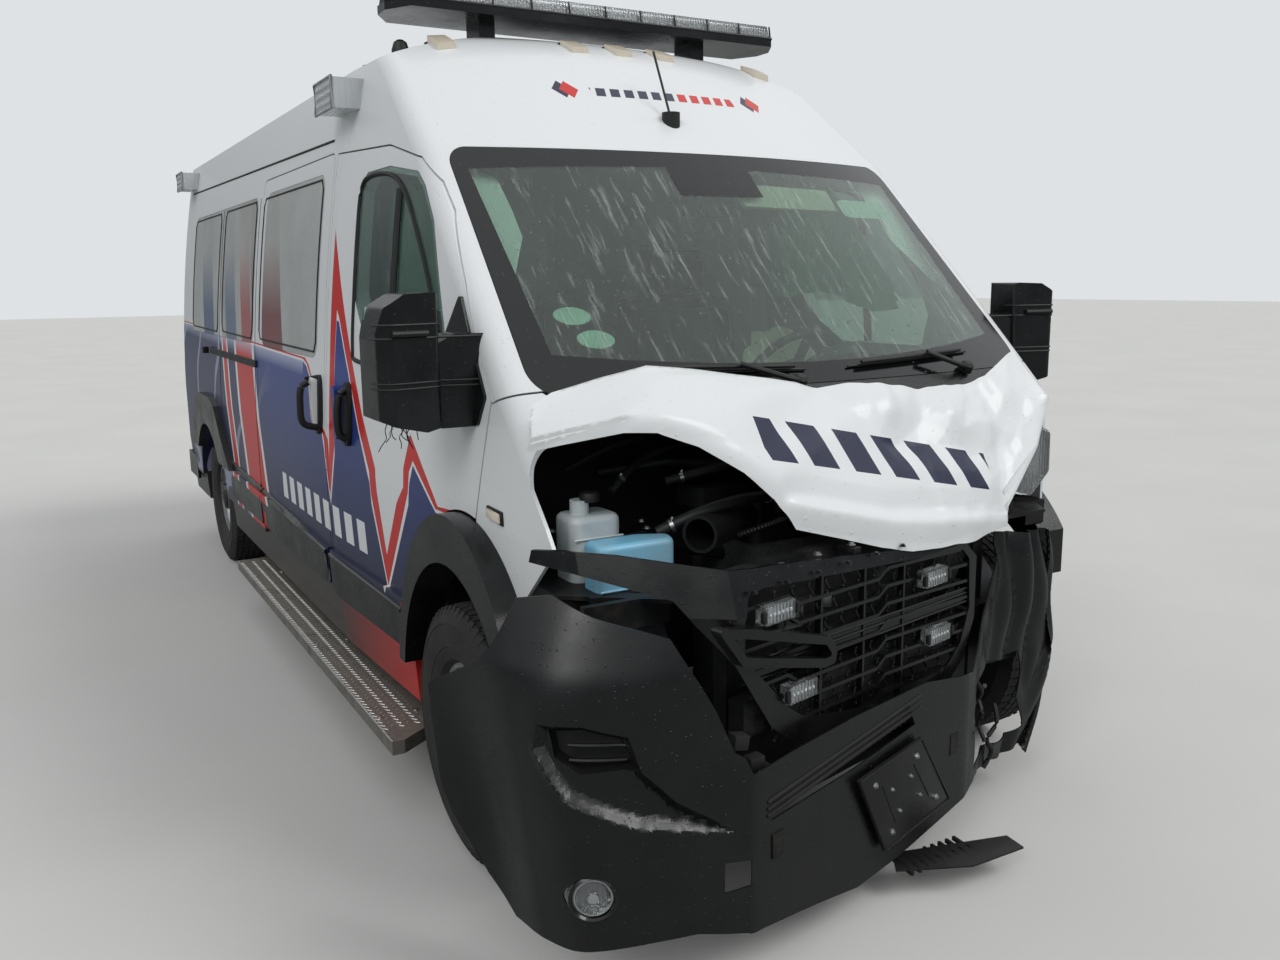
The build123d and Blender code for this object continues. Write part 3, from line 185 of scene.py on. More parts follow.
def splashed(tree, place, colour, dust, low, high, most):
    """Road dirt over a colour, thick at height low and gone at height high."""
    height = parted(tree, place)["Z"]
    fall = ranged(tree, height, low, high, most, 0.0)
    clouds = clouds_of(tree, place, 9.0, 6.0, 0.7)
    specks = ranged(tree, clouds, 0.35, 0.75, 0.15, 1.0)
    return blended(tree, calc(tree, "MULTIPLY", fall, specks), colour, dust)


# Wrap: the heartbeat line on the sides, as (s, z) in millimetres from the front arch rearwards
line_top = [
    (1000, 1008), (1141, 998), (1357, 1186), (1420, 1072), (1424, 1011), (1490, 951), (1609, 757),
    (1676, 958), (1684, 1035), (1810, 1200), (1904, 1349), (2041, 1581), (2172, 1831), (2180, 1345),
    (2204, 1005), (2216, 1069), (2311, 1115), (2380, 1225), (2501, 1326), (2564, 1352), (5960, 1408),
]
line_foot = [
    (1000, 988), (1160, 988), (1338, 1106), (1371, 1067), (1383, 1000), (1611, 650), (1643, 724), (1738, 942),
    (1746, 1014), (1851, 1157), (1956, 1339), (2077, 1520), (2104, 1546), (2120, 1342), (2128, 1059),
    (2145, 1006), (2224, 850), (2262, 989), (2276, 1054), (2316, 1116), (2400, 1233), (2540, 1330),
    (2600, 1345), (5960, 1402),
]
# White line under the red one, front end and rise of the belt, and top of the red sill, in millimetres
rim_line = 9.0
belt_front = (2564, 1345)
belt_rise = 0.0165
sill_top = 478


def profile(tree, along, points):
    """Height of a line of straight runs at a place along it, from (s, z) points in millimetres."""
    total = points[0][1] / 1000
    for (s0, z0), (s1, z1) in zip(points, points[1:]):
        run = ranged(tree, along, station(s0), station(s1), 0.0, (z1 - z0) / 1000)
        total = calc(tree, "ADD", run, total)
    return total


def lowered(points, gap):
    """Line of (s, z) points moved down by a gap measured square to its runs."""
    moved = []
    for i, (s, z) in enumerate(points):
        before = points[max(i - 1, 0)]
        after = points[min(i + 1, len(points) - 1)]
        steep = max(
            abs((b[1] - a[1]) / (b[0] - a[0])) for a, b in ((before, (s, z)), ((s, z), after)) if b[0] > a[0]
        )
        moved.append((s, z - gap * math.hypot(1, min(steep, 4))))
    return moved


def within(tree, value, low, high):
    """1 where a value lies between two limits, else 0."""
    over = calc(tree, "GREATER_THAN", value, low)
    under = calc(tree, "LESS_THAN", value, high)
    return calc(tree, "MULTIPLY", over, under)


def slanted(tree, along, height, start, width, lean):
    """1 inside a band of the side that starts at s, is width wide and leans rearwards by lean."""
    shifted = calc(tree, "MULTIPLY_ADD", height, -lean, along)
    first = station(start)
    return within(tree, shifted, first, first + width / 1000)


def block_row(tree, across, height, lean, pitch, share, *limits):
    """1 on slanted blocks a pitch apart, each a share of it wide, between the limits of some values."""
    row = calc(tree, "MULTIPLY_ADD", height, lean, across)
    blocks = within(tree, calc(tree, "FRACT", calc(tree, "DIVIDE", row, pitch)), 0.0, share)
    for value, first, last in limits:
        blocks = calc(tree, "MULTIPLY", blocks, within(tree, value, first, last))
    return blocks


def lower_print(tree, place, along, height, looks):
    """Blue print under the heartbeat line: slanted bands, thin threads, a glow and blank blocks."""
    low = ranged(tree, height, 0.62, 1.36)
    blue = blended(tree, low, linear(looks.wrap_navy), linear(looks.wrap_blue))
    rear = ranged(tree, along, station(3200), station(4300), 0.0, 0.75)
    blue = blended(tree, rear, blue, linear(looks.wrap_navy))
    folds = add(
        tree, "ShaderNodeTexWave",
        {"Vector": place, "Scale": 0.9, "Distortion": 9.0, "Detail": 2.0, "Detail Scale": 1.2},
        bands_direction="DIAGONAL",
    )
    thread = calc(tree, "MULTIPLY", within(tree, folds, 0.955, 1.1), rear)
    blue = blended(tree, thread, blue, linear("9FA8C2"))
    for start, width, code in (
        (3180, 520, looks.wrap_white), (3230, 420, looks.wrap_red), (3900, 180, looks.wrap_white),
        (3935, 110, looks.wrap_red),
    ):
        blue = blended(tree, slanted(tree, along, height, start, width, 0.32), blue, linear(code))
    belt = calc(tree, "MULTIPLY_ADD", along, -belt_rise, height)
    belt_z = belt_front[1] / 1000 - belt_rise * station(belt_front[0])
    glow = ranged(tree, belt, belt_z - 0.07, belt_z, 0.0, 0.75)
    behind = calc(tree, "GREATER_THAN", along, station(2600))
    blue = blended(tree, calc(tree, "MULTIPLY", glow, behind), blue, linear("C9D2E8"))
    blocks = block_row(
        tree, along, height, -0.16, 0.145, 0.6, (along, station(1800), station(3060)), (height, 0.715, 0.825),
    )
    return blended(tree, blocks, blue, linear(looks.wrap_white))


def wrapped_sides(tree, place, looks):
    """Printed vinyl wrap of both sides: white over a red heartbeat line over blue, and a red sill."""
    split = parted(tree, place)
    along = split["Y"]
    height = split["Z"]
    blue = lower_print(tree, place, along, height, looks)
    over_foot = calc(tree, "GREATER_THAN", height, profile(tree, along, line_foot))
    over_rim = calc(tree, "GREATER_THAN", height, profile(tree, along, lowered(line_foot, rim_line)))
    over_top = calc(tree, "GREATER_THAN", height, profile(tree, along, line_top))
    over_top = calc(tree, "MAXIMUM", over_top, calc(tree, "LESS_THAN", along, station(1000)))
    sill = calc(tree, "LESS_THAN", height, sill_top / 1000)
    toe = calc(tree, "LESS_THAN", height, 0.63)
    toe = calc(tree, "MULTIPLY", toe, calc(tree, "LESS_THAN", along, station(1470)))
    sill = calc(tree, "MAXIMUM", sill, toe)
    dirt = ranged(tree, along, station(1450), station(2250), 0.15, 1.0)
    blue = blended(tree, sill, blue, blended(tree, dirt, linear(looks.wrap_red), linear("2B2927")))
    colour = blended(tree, over_rim, blue, linear(looks.wrap_white))
    colour = blended(tree, over_foot, colour, linear(looks.wrap_red))
    colour = blended(tree, over_top, colour, linear(looks.body_white))
    return blended(tree, inner_face(tree, place), colour, linear("A4A8A9"))


def inner_face(tree, place):
    """1 on the body's faces that look into it, 0 on those that look out."""
    spot = parted(tree, place)
    normal = add(tree, "ShaderNodeTexCoord").node.outputs["Normal"]
    facing = parted(tree, normal)
    outward = calc(tree, "MULTIPLY", spot["X"], facing["X"])
    side = calc(tree, "LESS_THAN", outward, -0.2)
    ahead = calc(tree, "LESS_THAN", facing["Y"], -0.5)
    behind = calc(tree, "GREATER_THAN", spot["Y"], station(5850))
    rear = calc(tree, "MULTIPLY", ahead, behind)
    return calc(tree, "MAXIMUM", side, rear)


def marked_roof(tree, place, looks):
    """Small mark on the roof's brow: a row of slanted navy and red blocks between two diamonds."""
    split = parted(tree, place)
    across = split["X"]
    height = split["Z"]
    blocks = block_row(
        tree, across, height, -0.4, 0.052, 0.66, (across, -0.26, 0.31), (height, 2.236, 2.268)
    )
    side = calc(tree, "GREATER_THAN", across, 0.06)
    ink = blended(tree, side, linear(looks.wrap_navy), linear(looks.wrap_red))
    colour = blended(tree, blocks, linear(looks.body_white), ink)
    for middle, code in (
        (-0.36, looks.wrap_navy), (-0.335, looks.wrap_red), (0.385, looks.wrap_navy), (0.41, looks.wrap_red)
    ):
        reach = calc(tree, "ABSOLUTE", calc(tree, "SUBTRACT", across, middle))
        rise = calc(tree, "ABSOLUTE", calc(tree, "SUBTRACT", height, 2.256))
        diamond = calc(tree, "LESS_THAN", calc(tree, "ADD", reach, rise), 0.033)
        colour = blended(tree, diamond, colour, linear(code))
    front = calc(tree, "LESS_THAN", split["Y"], station(1800))
    return blended(tree, front, linear(looks.body_white), colour)


def lettered_hood(tree, place, looks):
    """Navy slanted blocks across the hood, in place of a word."""
    split = parted(tree, place)
    across = split["X"]
    height = split["Z"]
    fall = calc(tree, "MULTIPLY_ADD", across, 0.205, height)
    blocks = block_row(tree, across, height, 0.35, 0.13, 0.62, (across, -0.43, 0.40), (fall, 1.115, 1.215))
    return blended(tree, blocks, linear(looks.body_white), linear(looks.wrap_navy))


# Finishes
def enamel(name, looks, wrap=None):
    """Sprayed steel enamel, clear coated: white and glossy, with rain beads and a film of road dust."""
    made, tree, place = started(name)
    colour = wrap(tree, place, looks) if wrap else linear(looks.body_white)
    shade = clouds_of(tree, place, 1.3, 3.0)
    shade = ranged(tree, shade, 0.35, 0.7, 0.0, 0.03)
    colour = blended(tree, shade, colour, linear("8D9290"))
    colour = splashed(tree, place, colour, linear("57524A"), 0.45, 1.0, 0.18)
    beads = droplets(tree, place, 0.016, 0.35)
    peel = clouds_of(tree, place, 140.0, 2.0)
    relief = calc(tree, "MULTIPLY_ADD", peel, 0.05, beads)
    shaded(
        tree,
        {
            "Base Color": colour, "Roughness": 0.34, "IOR": 1.5, "Specular IOR Level": 0.25,
            "Coat Weight": 0.2, "Coat Roughness": 0.05,
        },
        relief, 0.0008,
    )
    return made


def moulded(
    name,
    code,
    worn,
    grain=0.0016,
    roughness=0.5,
    relief=0.0002,
    wet=0.0,
    dust="3E3A34",
    dusty=0.22,
    painted=None,
):
    """Injection-moulded plastic with a fine grain, paler where rubbed, dusty low down, beaded where wet."""
    made, tree, place = started(name)
    cloud = clouds_of(tree, place, 5.0, 6.0, 0.65)
    rub = ranged(tree, cloud, 0.45, 0.8)
    plain = painted(tree, place) if painted else linear(code)
    colour = blended(tree, rub, plain, linear(worn))
    colour = splashed(tree, place, colour, linear(dust), 0.1, 1.2, dusty)
    cells = add(tree, "ShaderNodeTexVoronoi", {"Vector": place, "Scale": 1 / grain}, feature="SMOOTH_F1")
    height = cells
    if wet:
        beads = droplets(tree, place, 0.011, wet)
        height = calc(tree, "MULTIPLY_ADD", beads, 5.0, cells)
    gloss = ranged(tree, cloud, 0.3, 0.7, roughness - 0.1, roughness + 0.12)
    shaded(
        tree, {"Base Color": colour, "Roughness": gloss, "IOR": 1.49, "Specular IOR Level": 0.5}, height,
        relief,
    )
    return made


def tank_colour(tree, place):
    """Milky coolant tank, and sky-blue washer fluid showing through the bottle ahead of it."""
    along = parted(tree, place)["Y"]
    ahead = calc(tree, "LESS_THAN", along, station(490))
    return blended(tree, ahead, linear("CFD6D6"), linear("7FC0DE"))


def metalled(name, code, stain, roughness=0.35, metallic=1.0, grain=0.004, relief=0.0001, streak=1.0):
    """Rolled, cast or plated metal clouded by stains; a streak above 1 draws its grain out lengthwise."""
    made, tree, place = started(name)
    drawn = add(tree, "ShaderNodeMapping", {"Vector": place, "Scale": (1.0, 1.0 / streak, 1.0)})
    marks = clouds_of(tree, drawn, 1 / grain, 3.0)
    cloud = clouds_of(tree, place, 14.0, 7.0, 0.7)
    share = ranged(tree, cloud, 0.48, 0.72, 0.0, 0.8)
    gloss = ranged(tree, cloud, 0.3, 0.7, roughness - 0.08, roughness + 0.2)
    colour = blended(tree, share, linear(code), linear(stain))
    shaded(tree, {"Base Color": colour, "Metallic": metallic, "Roughness": gloss}, marks, relief)
    return made


def glazed(name, code, haze=0.0, wet=0.0, border=None):
    """Float glass, tinted green in its body, with dried rain streaks and an optional black printed border."""
    made, tree, place = started(name)
    colour = linear(code)
    streaks = add(tree, "ShaderNodeMapping", {"Vector": place, "Scale": (60.0, 6.0, 6.0)})
    film = clouds_of(tree, streaks, 1.0, 5.0, 0.65)
    share = ranged(tree, film, 0.56, 0.78, 0.02, haze)
    beads = droplets(tree, place, 0.014, wet)
    bump = bumped(tree, beads, 0.0006)
    clear = add(
        tree, "ShaderNodeBsdfPrincipled",
        {"Base Color": colour, "Roughness": 0.02, "IOR": 1.5, "Transmission Weight": 1.0, "Normal": bump},
    )
    dried = add(tree, "ShaderNodeBsdfPrincipled", {"Base Color": linear("C9CFCB"), "Roughness": 0.7})
    clear = add(tree, "ShaderNodeMixShader", {"Fac": share, 1: clear, 2: dried})
    if border is None:
        add(tree, "ShaderNodeOutputMaterial", {"Surface": clear})
        return made
    print_shader = add(
        tree, "ShaderNodeBsdfPrincipled",
        {"Base Color": linear("0B0C0D"), "Roughness": 0.12, "IOR": 1.5, "Normal": bump},
    )
    mixed = add(tree, "ShaderNodeMixShader", {"Fac": border(tree, place), 1: clear, 2: print_shader})
    add(tree, "ShaderNodeOutputMaterial", {"Surface": mixed})
    return made


def windshield_border(tree, place):
    """1 on the windshield's black printed border, 0 on its clear glass."""
    split = parted(tree, place)
    side = calc(tree, "ABSOLUTE", split["X"])
    height = split["Z"]
    crown = calc(tree, "MULTIPLY", side, side)
    top = calc(tree, "MULTIPLY_ADD", crown, -0.03, 1.985)
    foot = calc(tree, "MULTIPLY_ADD", crown, 0.07, 1.405)
    edge = ranged(tree, height, 1.35, 2.03, 0.79, 0.795)
    parts = [
        calc(tree, "GREATER_THAN", height, top), calc(tree, "LESS_THAN", height, foot),
        calc(tree, "GREATER_THAN", side, edge),
    ]
    off_sensor = calc(tree, "ABSOLUTE", calc(tree, "ADD", split["X"], 0.021))
    over_sensor = calc(tree, "LESS_THAN", off_sensor, 0.155)
    high = calc(tree, "GREATER_THAN", height, 1.893)
    printed = calc(tree, "MINIMUM", over_sensor, high)
    for part in parts:
        printed = calc(tree, "MAXIMUM", printed, part)
    return printed


def lens(name, code, clear=0.9, rib=0.012, roughness=0.06, axis="X"):
    """Moulded polycarbonate lens, its back face ribbed across to spread the light."""
    made, tree, place = started(name)
    ribs = add(tree, "ShaderNodeTexWave", {"Vector": place, "Scale": 0.32 / rib}, bands_direction=axis)
    haze = clouds_of(tree, place, 22.0, 5.0)
    gloss = ranged(tree, haze, 0.4, 0.7, roughness, roughness + 0.12)
    shaded(
        tree, {"Base Color": linear(code), "Roughness": gloss, "IOR": 1.58, "Transmission Weight": clear},
        ribs, 0.0012,
    )
    return made


def perforated_film(name, looks):
    """Printed window film punched with small holes: matt grey with slanted bands, speckled all over."""
    made, tree, place = started(name)
    split = parted(tree, place)
    along = split["Y"]
    height = split["Z"]
    colour = linear(looks.film_grey)
    for start, width, code in (
        (2560, 640, "7D4447"), (3240, 250, "B25A5C"), (3640, 300, "6E7C95"),
        (4080, 90, "D9DCDD"), (4330, 360, "5C6B88"),
    ):
        band = slanted(tree, along, height, start, width, 0.30)
        fade = ranged(tree, height, 1.5, 1.82, 0.95, 0.12)
        colour = blended(tree, calc(tree, "MULTIPLY", band, fade), colour, linear(code))
    cloud = ranged(tree, clouds_of(tree, place, 2.2, 5.0, 0.6), 0.35, 0.7, 0.0, 0.3)
    colour = blended(tree, cloud, colour, linear("707473"))
    holes = add(tree, "ShaderNodeTexVoronoi", {"Vector": place, "Scale": 160.0})
    punched = calc(tree, "LESS_THAN", holes, 0.28)
    dark = calc(tree, "MULTIPLY", punched, 0.4)
    colour = blended(tree, dark, colour, linear("2A2C2C"))
    shaded(tree, {"Base Color": colour, "Roughness": 0.38, "IOR": 1.45}, holes, 0.0003)
    return made


def woven(name, code, fleck, thread=0.004, roughness=0.85, sheen=0.3):
    """Woven cloth: crossed threads, drawn coarser than real so that they show, with a soft sheen."""
    made, tree, place = started(name)
    over = add(tree, "ShaderNodeTexWave", {"Vector": place, "Scale": 0.32 / thread}, bands_direction="X")
    under = add(tree, "ShaderNodeTexWave", {"Vector": place, "Scale": 0.32 / thread}, bands_direction="Z")
    cross = calc(tree, "MAXIMUM", over, under)
    cloud = clouds_of(tree, place, 8.0, 5.0)
    colour = blended(tree, cloud, linear(code), linear(fleck))
    shaded(
        tree,
        {"Base Color": colour, "Roughness": roughness, "Sheen Weight": sheen, "Sheen Roughness": 0.5},
        cross, 0.0006,
    )
    return made


def vulcanised(name, code, dust):
    """Tyre rubber: near-black, matt, greyed by road dust in its grooves, with fine moulding lines."""
    made, tree, place = started(name)
    cloud = clouds_of(tree, place, 6.0, 7.0, 0.75)
    share = ranged(tree, cloud, 0.4, 0.75, 0.1, 0.75)
    colour = blended(tree, share, linear(code), linear(dust))
    grit = clouds_of(tree, place, 320.0, 3.0)
    shaded(tree, {"Base Color": colour, "Roughness": 0.78, "IOR": 1.52}, grit, 0.0006)
    return made


# Shape tools
def mesh_of(name, shape):
    """Mesh of a bmesh, which is freed."""
    mesh = bpy.data.meshes.new(name)
    shape.to_mesh(mesh)
    shape.free()
    return mesh


def shown(name, mesh, body, sharp):
    """Object of a mesh, smooth but for its sharp edges, riding on a body."""
    made = bpy.data.objects.new(name, mesh)
    bpy.context.collection.objects.link(made)
    mesh.polygons.foreach_set("use_smooth", [True] * len(mesh.polygons))
    mesh.set_sharp_from_angle(angle=math.radians(sharp))
    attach(made, body)
    return made


def piece(name, shape, finish, body="root", sharp=35.0):
    """Object of a bmesh in one finish, riding on a body."""
    mesh = mesh_of(name, shape)
    mesh.materials.append(finishes[finish])
    return shown(name, mesh, body, sharp)


def banded(shape, first, second):
    """Faces between two like closed rings of vertices."""
    faces = []
    for k in range(len(first)):
        after = (k + 1) % len(first)
        faces.append(shape.faces.new((first[k], first[after], second[after], second[k])))
    return faces


def gridded(shape, rows):
    """Faces between the rows of a grid of vertices."""
    for first, second in zip(rows, rows[1:]):
        for k in range(len(first) - 1):
            shape.faces.new((first[k], first[k + 1], second[k + 1], second[k]))


def lofted(shape, rings):
    """Closed skin over a run of like closed rings of points, capped at both ends."""
    verts = [[shape.verts.new(p) for p in ring] for ring in rings]
    faces = [shape.faces.new(verts[0]), shape.faces.new(verts[-1][::-1])]
    for first, second in zip(verts, verts[1:]):
        faces += banded(shape, first, second)
    bmesh.ops.recalc_face_normals(shape, faces=faces)


def prism(shape, loop, shift, bevel=0.0):
    """Closed prism from a loop of points carried by a shift, its edges bevelled; gives its faces."""
    before = set(shape.faces)
    base = [shape.verts.new(p) for p in loop]
    top = [shape.verts.new(p + shift) for p in loop]
    faces = [shape.faces.new(base[::-1]), shape.faces.new(top)]
    faces += banded(shape, base, top)
    bmesh.ops.recalc_face_normals(shape, faces=faces)
    if bevel:
        edges = list(dict.fromkeys(e for f in faces for e in f.edges))
        bmesh.ops.bevel(shape, geom=edges, offset=bevel, segments=2, affect="EDGES", profile=0.6)
    return [f for f in shape.faces if f not in before]


def brick(shape, low, high, bevel=0.002, turn=None):
    """Block between two corners, bevelled, turned about its centre if asked."""
    plan = ((low.x, low.y), (high.x, low.y), (high.x, high.y), (low.x, high.y))
    loop = [Vector((x, y, low.z)) for x, y in plan]
    faces = prism(shape, loop, Vector((0, 0, high.z - low.z)), bevel)
    if turn is not None:
        verts = list(dict.fromkeys(v for f in faces for v in f.verts))
        bmesh.ops.rotate(shape, verts=verts, cent=(low + high) / 2, matrix=turn)


def curved(points, steps=6):
    """Smooth run of points through the given ones."""
    run = []
    last = len(points) - 1
    for i in range(last):
        a = points[max(i - 1, 0)]
        b, c = points[i], points[i + 1]
        d = points[min(i + 2, last)]
        for j in range(steps):
            t = j / steps
            bend = (2 * a - 5 * b + 4 * c - d) * t * t
            run.append(0.5 * (2 * b + (c - a) * t + bend + (3 * b - a - 3 * c + d) * t**3))
    run.append(points[-1])
    return run


def tube(shape, route, radius, sides=10, ridge=0.0):
    """Closed tube along points; a ridge makes every other ring wider, as on a corrugated hose."""
    angles = [2 * math.pi * k / sides for k in range(sides)]
    rings = []
    for i, point in enumerate(route):
        ahead = (route[min(i + 1, len(route) - 1)] - route[max(i - 1, 0)]).normalized()
        side = ahead.cross(upward if abs(ahead.z) < 0.9 else leftward).normalized()
        rise = side.cross(ahead)
        wide = radius + (ridge if i % 2 else 0.0)
        rings.append([point + side * wide * math.cos(t) + rise * wide * math.sin(t) for t in angles])
    lofted(shape, rings)


def turned(shape, profile, centre, axis, sides=32):
    """Solid turned about an axis from (radius, along) points in metres; clear of the axis it is a ring."""
    axis = axis.normalized()
    side = axis.cross(upward if abs(axis.z) < 0.9 else leftward).normalized()
    other = axis.cross(side)
    angles = [2 * math.pi * k / sides for k in range(sides)]
    rings = []
    for radius, along in profile:
        middle = centre + axis * along
        if radius < 1e-6:
            rings.append([shape.verts.new(middle)])
            continue
        points = [middle + (side * math.cos(t) + other * math.sin(t)) * radius for t in angles]
        rings.append([shape.verts.new(p) for p in points])
    faces = []
    closed = len(rings[0]) > 1 and len(rings[-1]) > 1
    for first, second in zip(rings, rings[1:] + ([rings[0]] if closed else [])):
        for k in range(sides):
            after = (k + 1) % sides
            corners = [
                first[k % len(first)], first[after % len(first)], second[after % len(second)],
                second[k % len(second)],
            ]
            unique = list(dict.fromkeys(corners))
            if len(unique) > 2:
                faces.append(shape.faces.new(unique))
    bmesh.ops.recalc_face_normals(shape, faces=faces)


def bolt(shape, centre, axis, radius=0.006):
    """Hexagonal bolt head on its washer."""
    profile = [
        (0, -0.001), (radius * 1.5, -0.001), (radius * 1.5, 0.0012), (radius, 0.0015), (radius * 0.94, 0.006),
        (0, 0.0065),
    ]
    turned(shape, profile, centre, axis, 6)


def copied(node):
    """Bmesh copy of a carried node's mesh, its doubles merged."""
    shape = bmesh.new()
    shape.from_mesh(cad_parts[node].data)
    bmesh.ops.remove_doubles(shape, verts=shape.verts, dist=1e-5)
    return shape


def skin_of(*names):
    """Search tree over the faces of carried nodes, for seating pieces on them."""
    verts = []
    faces = []
    for name in names:
        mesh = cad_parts[name].data
        start = len(verts)
        verts += [v.co.copy() for v in mesh.vertices]
        faces += [[i + start for i in p.vertices] for p in mesh.polygons]
    return BVHTree.FromPolygons(verts, faces)


def seated(tree, point, direction, lift=0.0):
    """Where a ray from a point meets a skin, lifted off it, or the point itself where it misses."""
    hit = tree.ray_cast(point, direction)[0]
    if hit is None:
        return point
    return hit - direction.normalized() * lift


def repeat_tree():
    """Geometry nodes that copy a shape count times, each step further and turn further than the last."""
    tree = bpy.data.node_groups.new("Repeated shape", "GeometryNodeTree")
    for name, kind in (
        ("Shape", "NodeSocketGeometry"), ("Count", "NodeSocketInt"), ("Step", "NodeSocketVector"),
        ("Turn", "NodeSocketVector"), ("Finish", "NodeSocketMaterial"),
    ):
        tree.interface.new_socket(name, in_out="INPUT", socket_type=kind)
    tree.interface.new_socket("Shape", in_out="OUTPUT", socket_type="NodeSocketGeometry")
    given = add(tree, "NodeGroupInput").node.outputs
    line = add(
        tree, "GeometryNodeMeshLine", {"Count": given["Count"], "Offset": given["Step"]}, mode="OFFSET",
    )
    index = add(tree, "GeometryNodeInputIndex")
    turn = add(tree, "ShaderNodeVectorMath", {0: given["Turn"], "Scale": index}, operation="SCALE")
    copies = add(
        tree, "GeometryNodeInstanceOnPoints",
        {"Points": line, "Instance": given["Shape"], "Rotation": turn},
    )
    plain = add(tree, "GeometryNodeRealizeInstances", {"Geometry": copies})
    finished = add(tree, "GeometryNodeSetMaterial", {"Geometry": plain, "Material": given["Finish"]})
    add(tree, "NodeGroupOutput", {"Shape": finished})
    return tree


def repeated(
    name, shape, finish, count, step=(0, 0, 0), turn=(0, 0, 0), centre=None, body="root", sharp=35.0
):
    """Piece made of count copies of a bmesh, each a step and a turn about the centre from the last."""
    centre = centre or Vector((0, 0, 0))
    bmesh.ops.translate(shape, verts=shape.verts, vec=-centre)
    source = bpy.data.objects.new(name + "_one", mesh_of(name, shape))
    bpy.context.collection.objects.link(source)
    maker = source.modifiers.new("Repeat", "NODES")
    maker.node_group = bpy.data.node_groups.get("Repeated shape") or repeat_tree()
    inputs = {s.name: s.identifier for s in maker.node_group.interface.items_tree if s.in_out == "INPUT"}
    maker[inputs["Count"]] = count
    maker[inputs["Step"]] = step
    maker[inputs["Turn"]] = turn
    maker[inputs["Finish"]] = finishes[finish]
    ready = source.evaluated_get(bpy.context.evaluated_depsgraph_get())
    whole = bpy.data.meshes.new_from_object(ready)
    bpy.data.objects.remove(source)
    whole.transform(Matrix.Translation(centre))
    return shown(name, whole, body, sharp)


# Materials by the short names of make_finishes
finishes = {}


class AmbulanceLooks(bpy.types.PropertyGroup):
    """Sizes and colours of the dressed ambulance."""

    body_white: bpy.props.StringProperty(
        name="Body white", description="sRGB hex colour of the enamel", default="E2E5E6"
    )
    wrap_white: bpy.props.StringProperty(
        name="Wrap white", description="sRGB hex colour of the wrap's thin lines", default="E4E6E8"
    )
    wrap_red: bpy.props.StringProperty(
        name="Wrap red", description="sRGB hex colour of the heartbeat line", default="C9211E"
    )
    wrap_blue: bpy.props.StringProperty(
        name="Wrap blue", description="sRGB hex colour of the wrap's blue near the belt", default="263F8C"
    )
    wrap_navy: bpy.props.StringProperty(
        name="Wrap navy", description="sRGB hex colour of the wrap's blue near the sill", default="151B3B"
    )
    film_grey: bpy.props.StringProperty(
        name="Film grey", description="sRGB hex colour of the window film", default="B6B9B7"
    )
    light_level: bpy.props.FloatProperty(
        name="Light level", description="Strength of the even light from all round", default=0.6, min=0.0
    )
    sun_level: bpy.props.FloatProperty(
        name="Key lamp", description="Strength of the soft lamp from the vehicle's front left", default=1.15,
        min=0.0,
    )
    fill_level: bpy.props.FloatProperty(
        name="Fill lamp", description="Strength of the soft lamp from the vehicle's front right", default=0.7,
        min=0.0,
    )
    camera_lens: bpy.props.FloatProperty(
        name="Lens", description="Focal length of the camera, in millimetres", default=30.69, min=1.0
    )
    tread_depth: bpy.props.FloatProperty(
        name="Tread depth", description="How deep the tyres' grooves are", default=0.009, unit="LENGTH",
        min=0.0,
    )
    crumple: bpy.props.FloatProperty(
        name="Crumple", description="How far the hood's dents rise and fall", default=0.012, unit="LENGTH",
        min=0.0,
    )


# Which finish each carried node takes, by the start of its name
node_finishes = [
    # start of the name   finish
    ("tyre_", "rubber"),
    ("wheel_", "steel_silver"),
    ("windshield", "glass_windshield"),
    ("door_glass", "glass_door"),
    ("rear_glass", "glass_door"),
    ("side_windows", "film"),
    ("side_", "wrap"),
    ("sliding_door", "wrap"),
    ("front_door", "wrap"),
    ("rear_door", "wrap"),
    ("fender", "wrap"),
    ("roof_lamps", "lamp_amber"),
    ("roof", "enamel"),
    ("hood", "enamel"),
    ("door_pillars", "enamel_plain"),
    ("bumper", "polypropylene"),
    ("cladding", "polypropylene"),
    ("rear_bumper", "polypropylene"),
    ("cowl", "polypropylene"),
    ("mirror", "polypropylene"),
    ("grille", "abs_black"),
    ("light_bar_lens", "lens_clear"),
    ("light_bar", "abs_black"),
    ("front_lamps", "lens_clear"),
    ("scene_lamps", "lens_scene"),
    ("tail_lamps", "lens_red"),
    ("antenna", "rubber_trim"),
    ("dashboard", "vinyl_grey"),
    ("steering_wheel", "vinyl_grey"),
    ("seats", "seat_vinyl"),
    ("partition", "liner"),
    ("patient_fittings", "liner"),
    ("floor", "underseal"),
    ("firewall", "insulation"),
    ("underframe", "chassis_black"),
    ("rear_axle", "chassis_black"),
    ("knuckle", "cast_iron"),
    ("exhaust", "steel_exhaust"),
    ("engine_block", "cast_alloy"),
    ("engine_bay_pipes", "rubber_hose"),
    ("fluid_tanks", "polyethylene"),
    ("radiator_support", "steel_black"),
    ("running_boards", "tread_plate"),
]


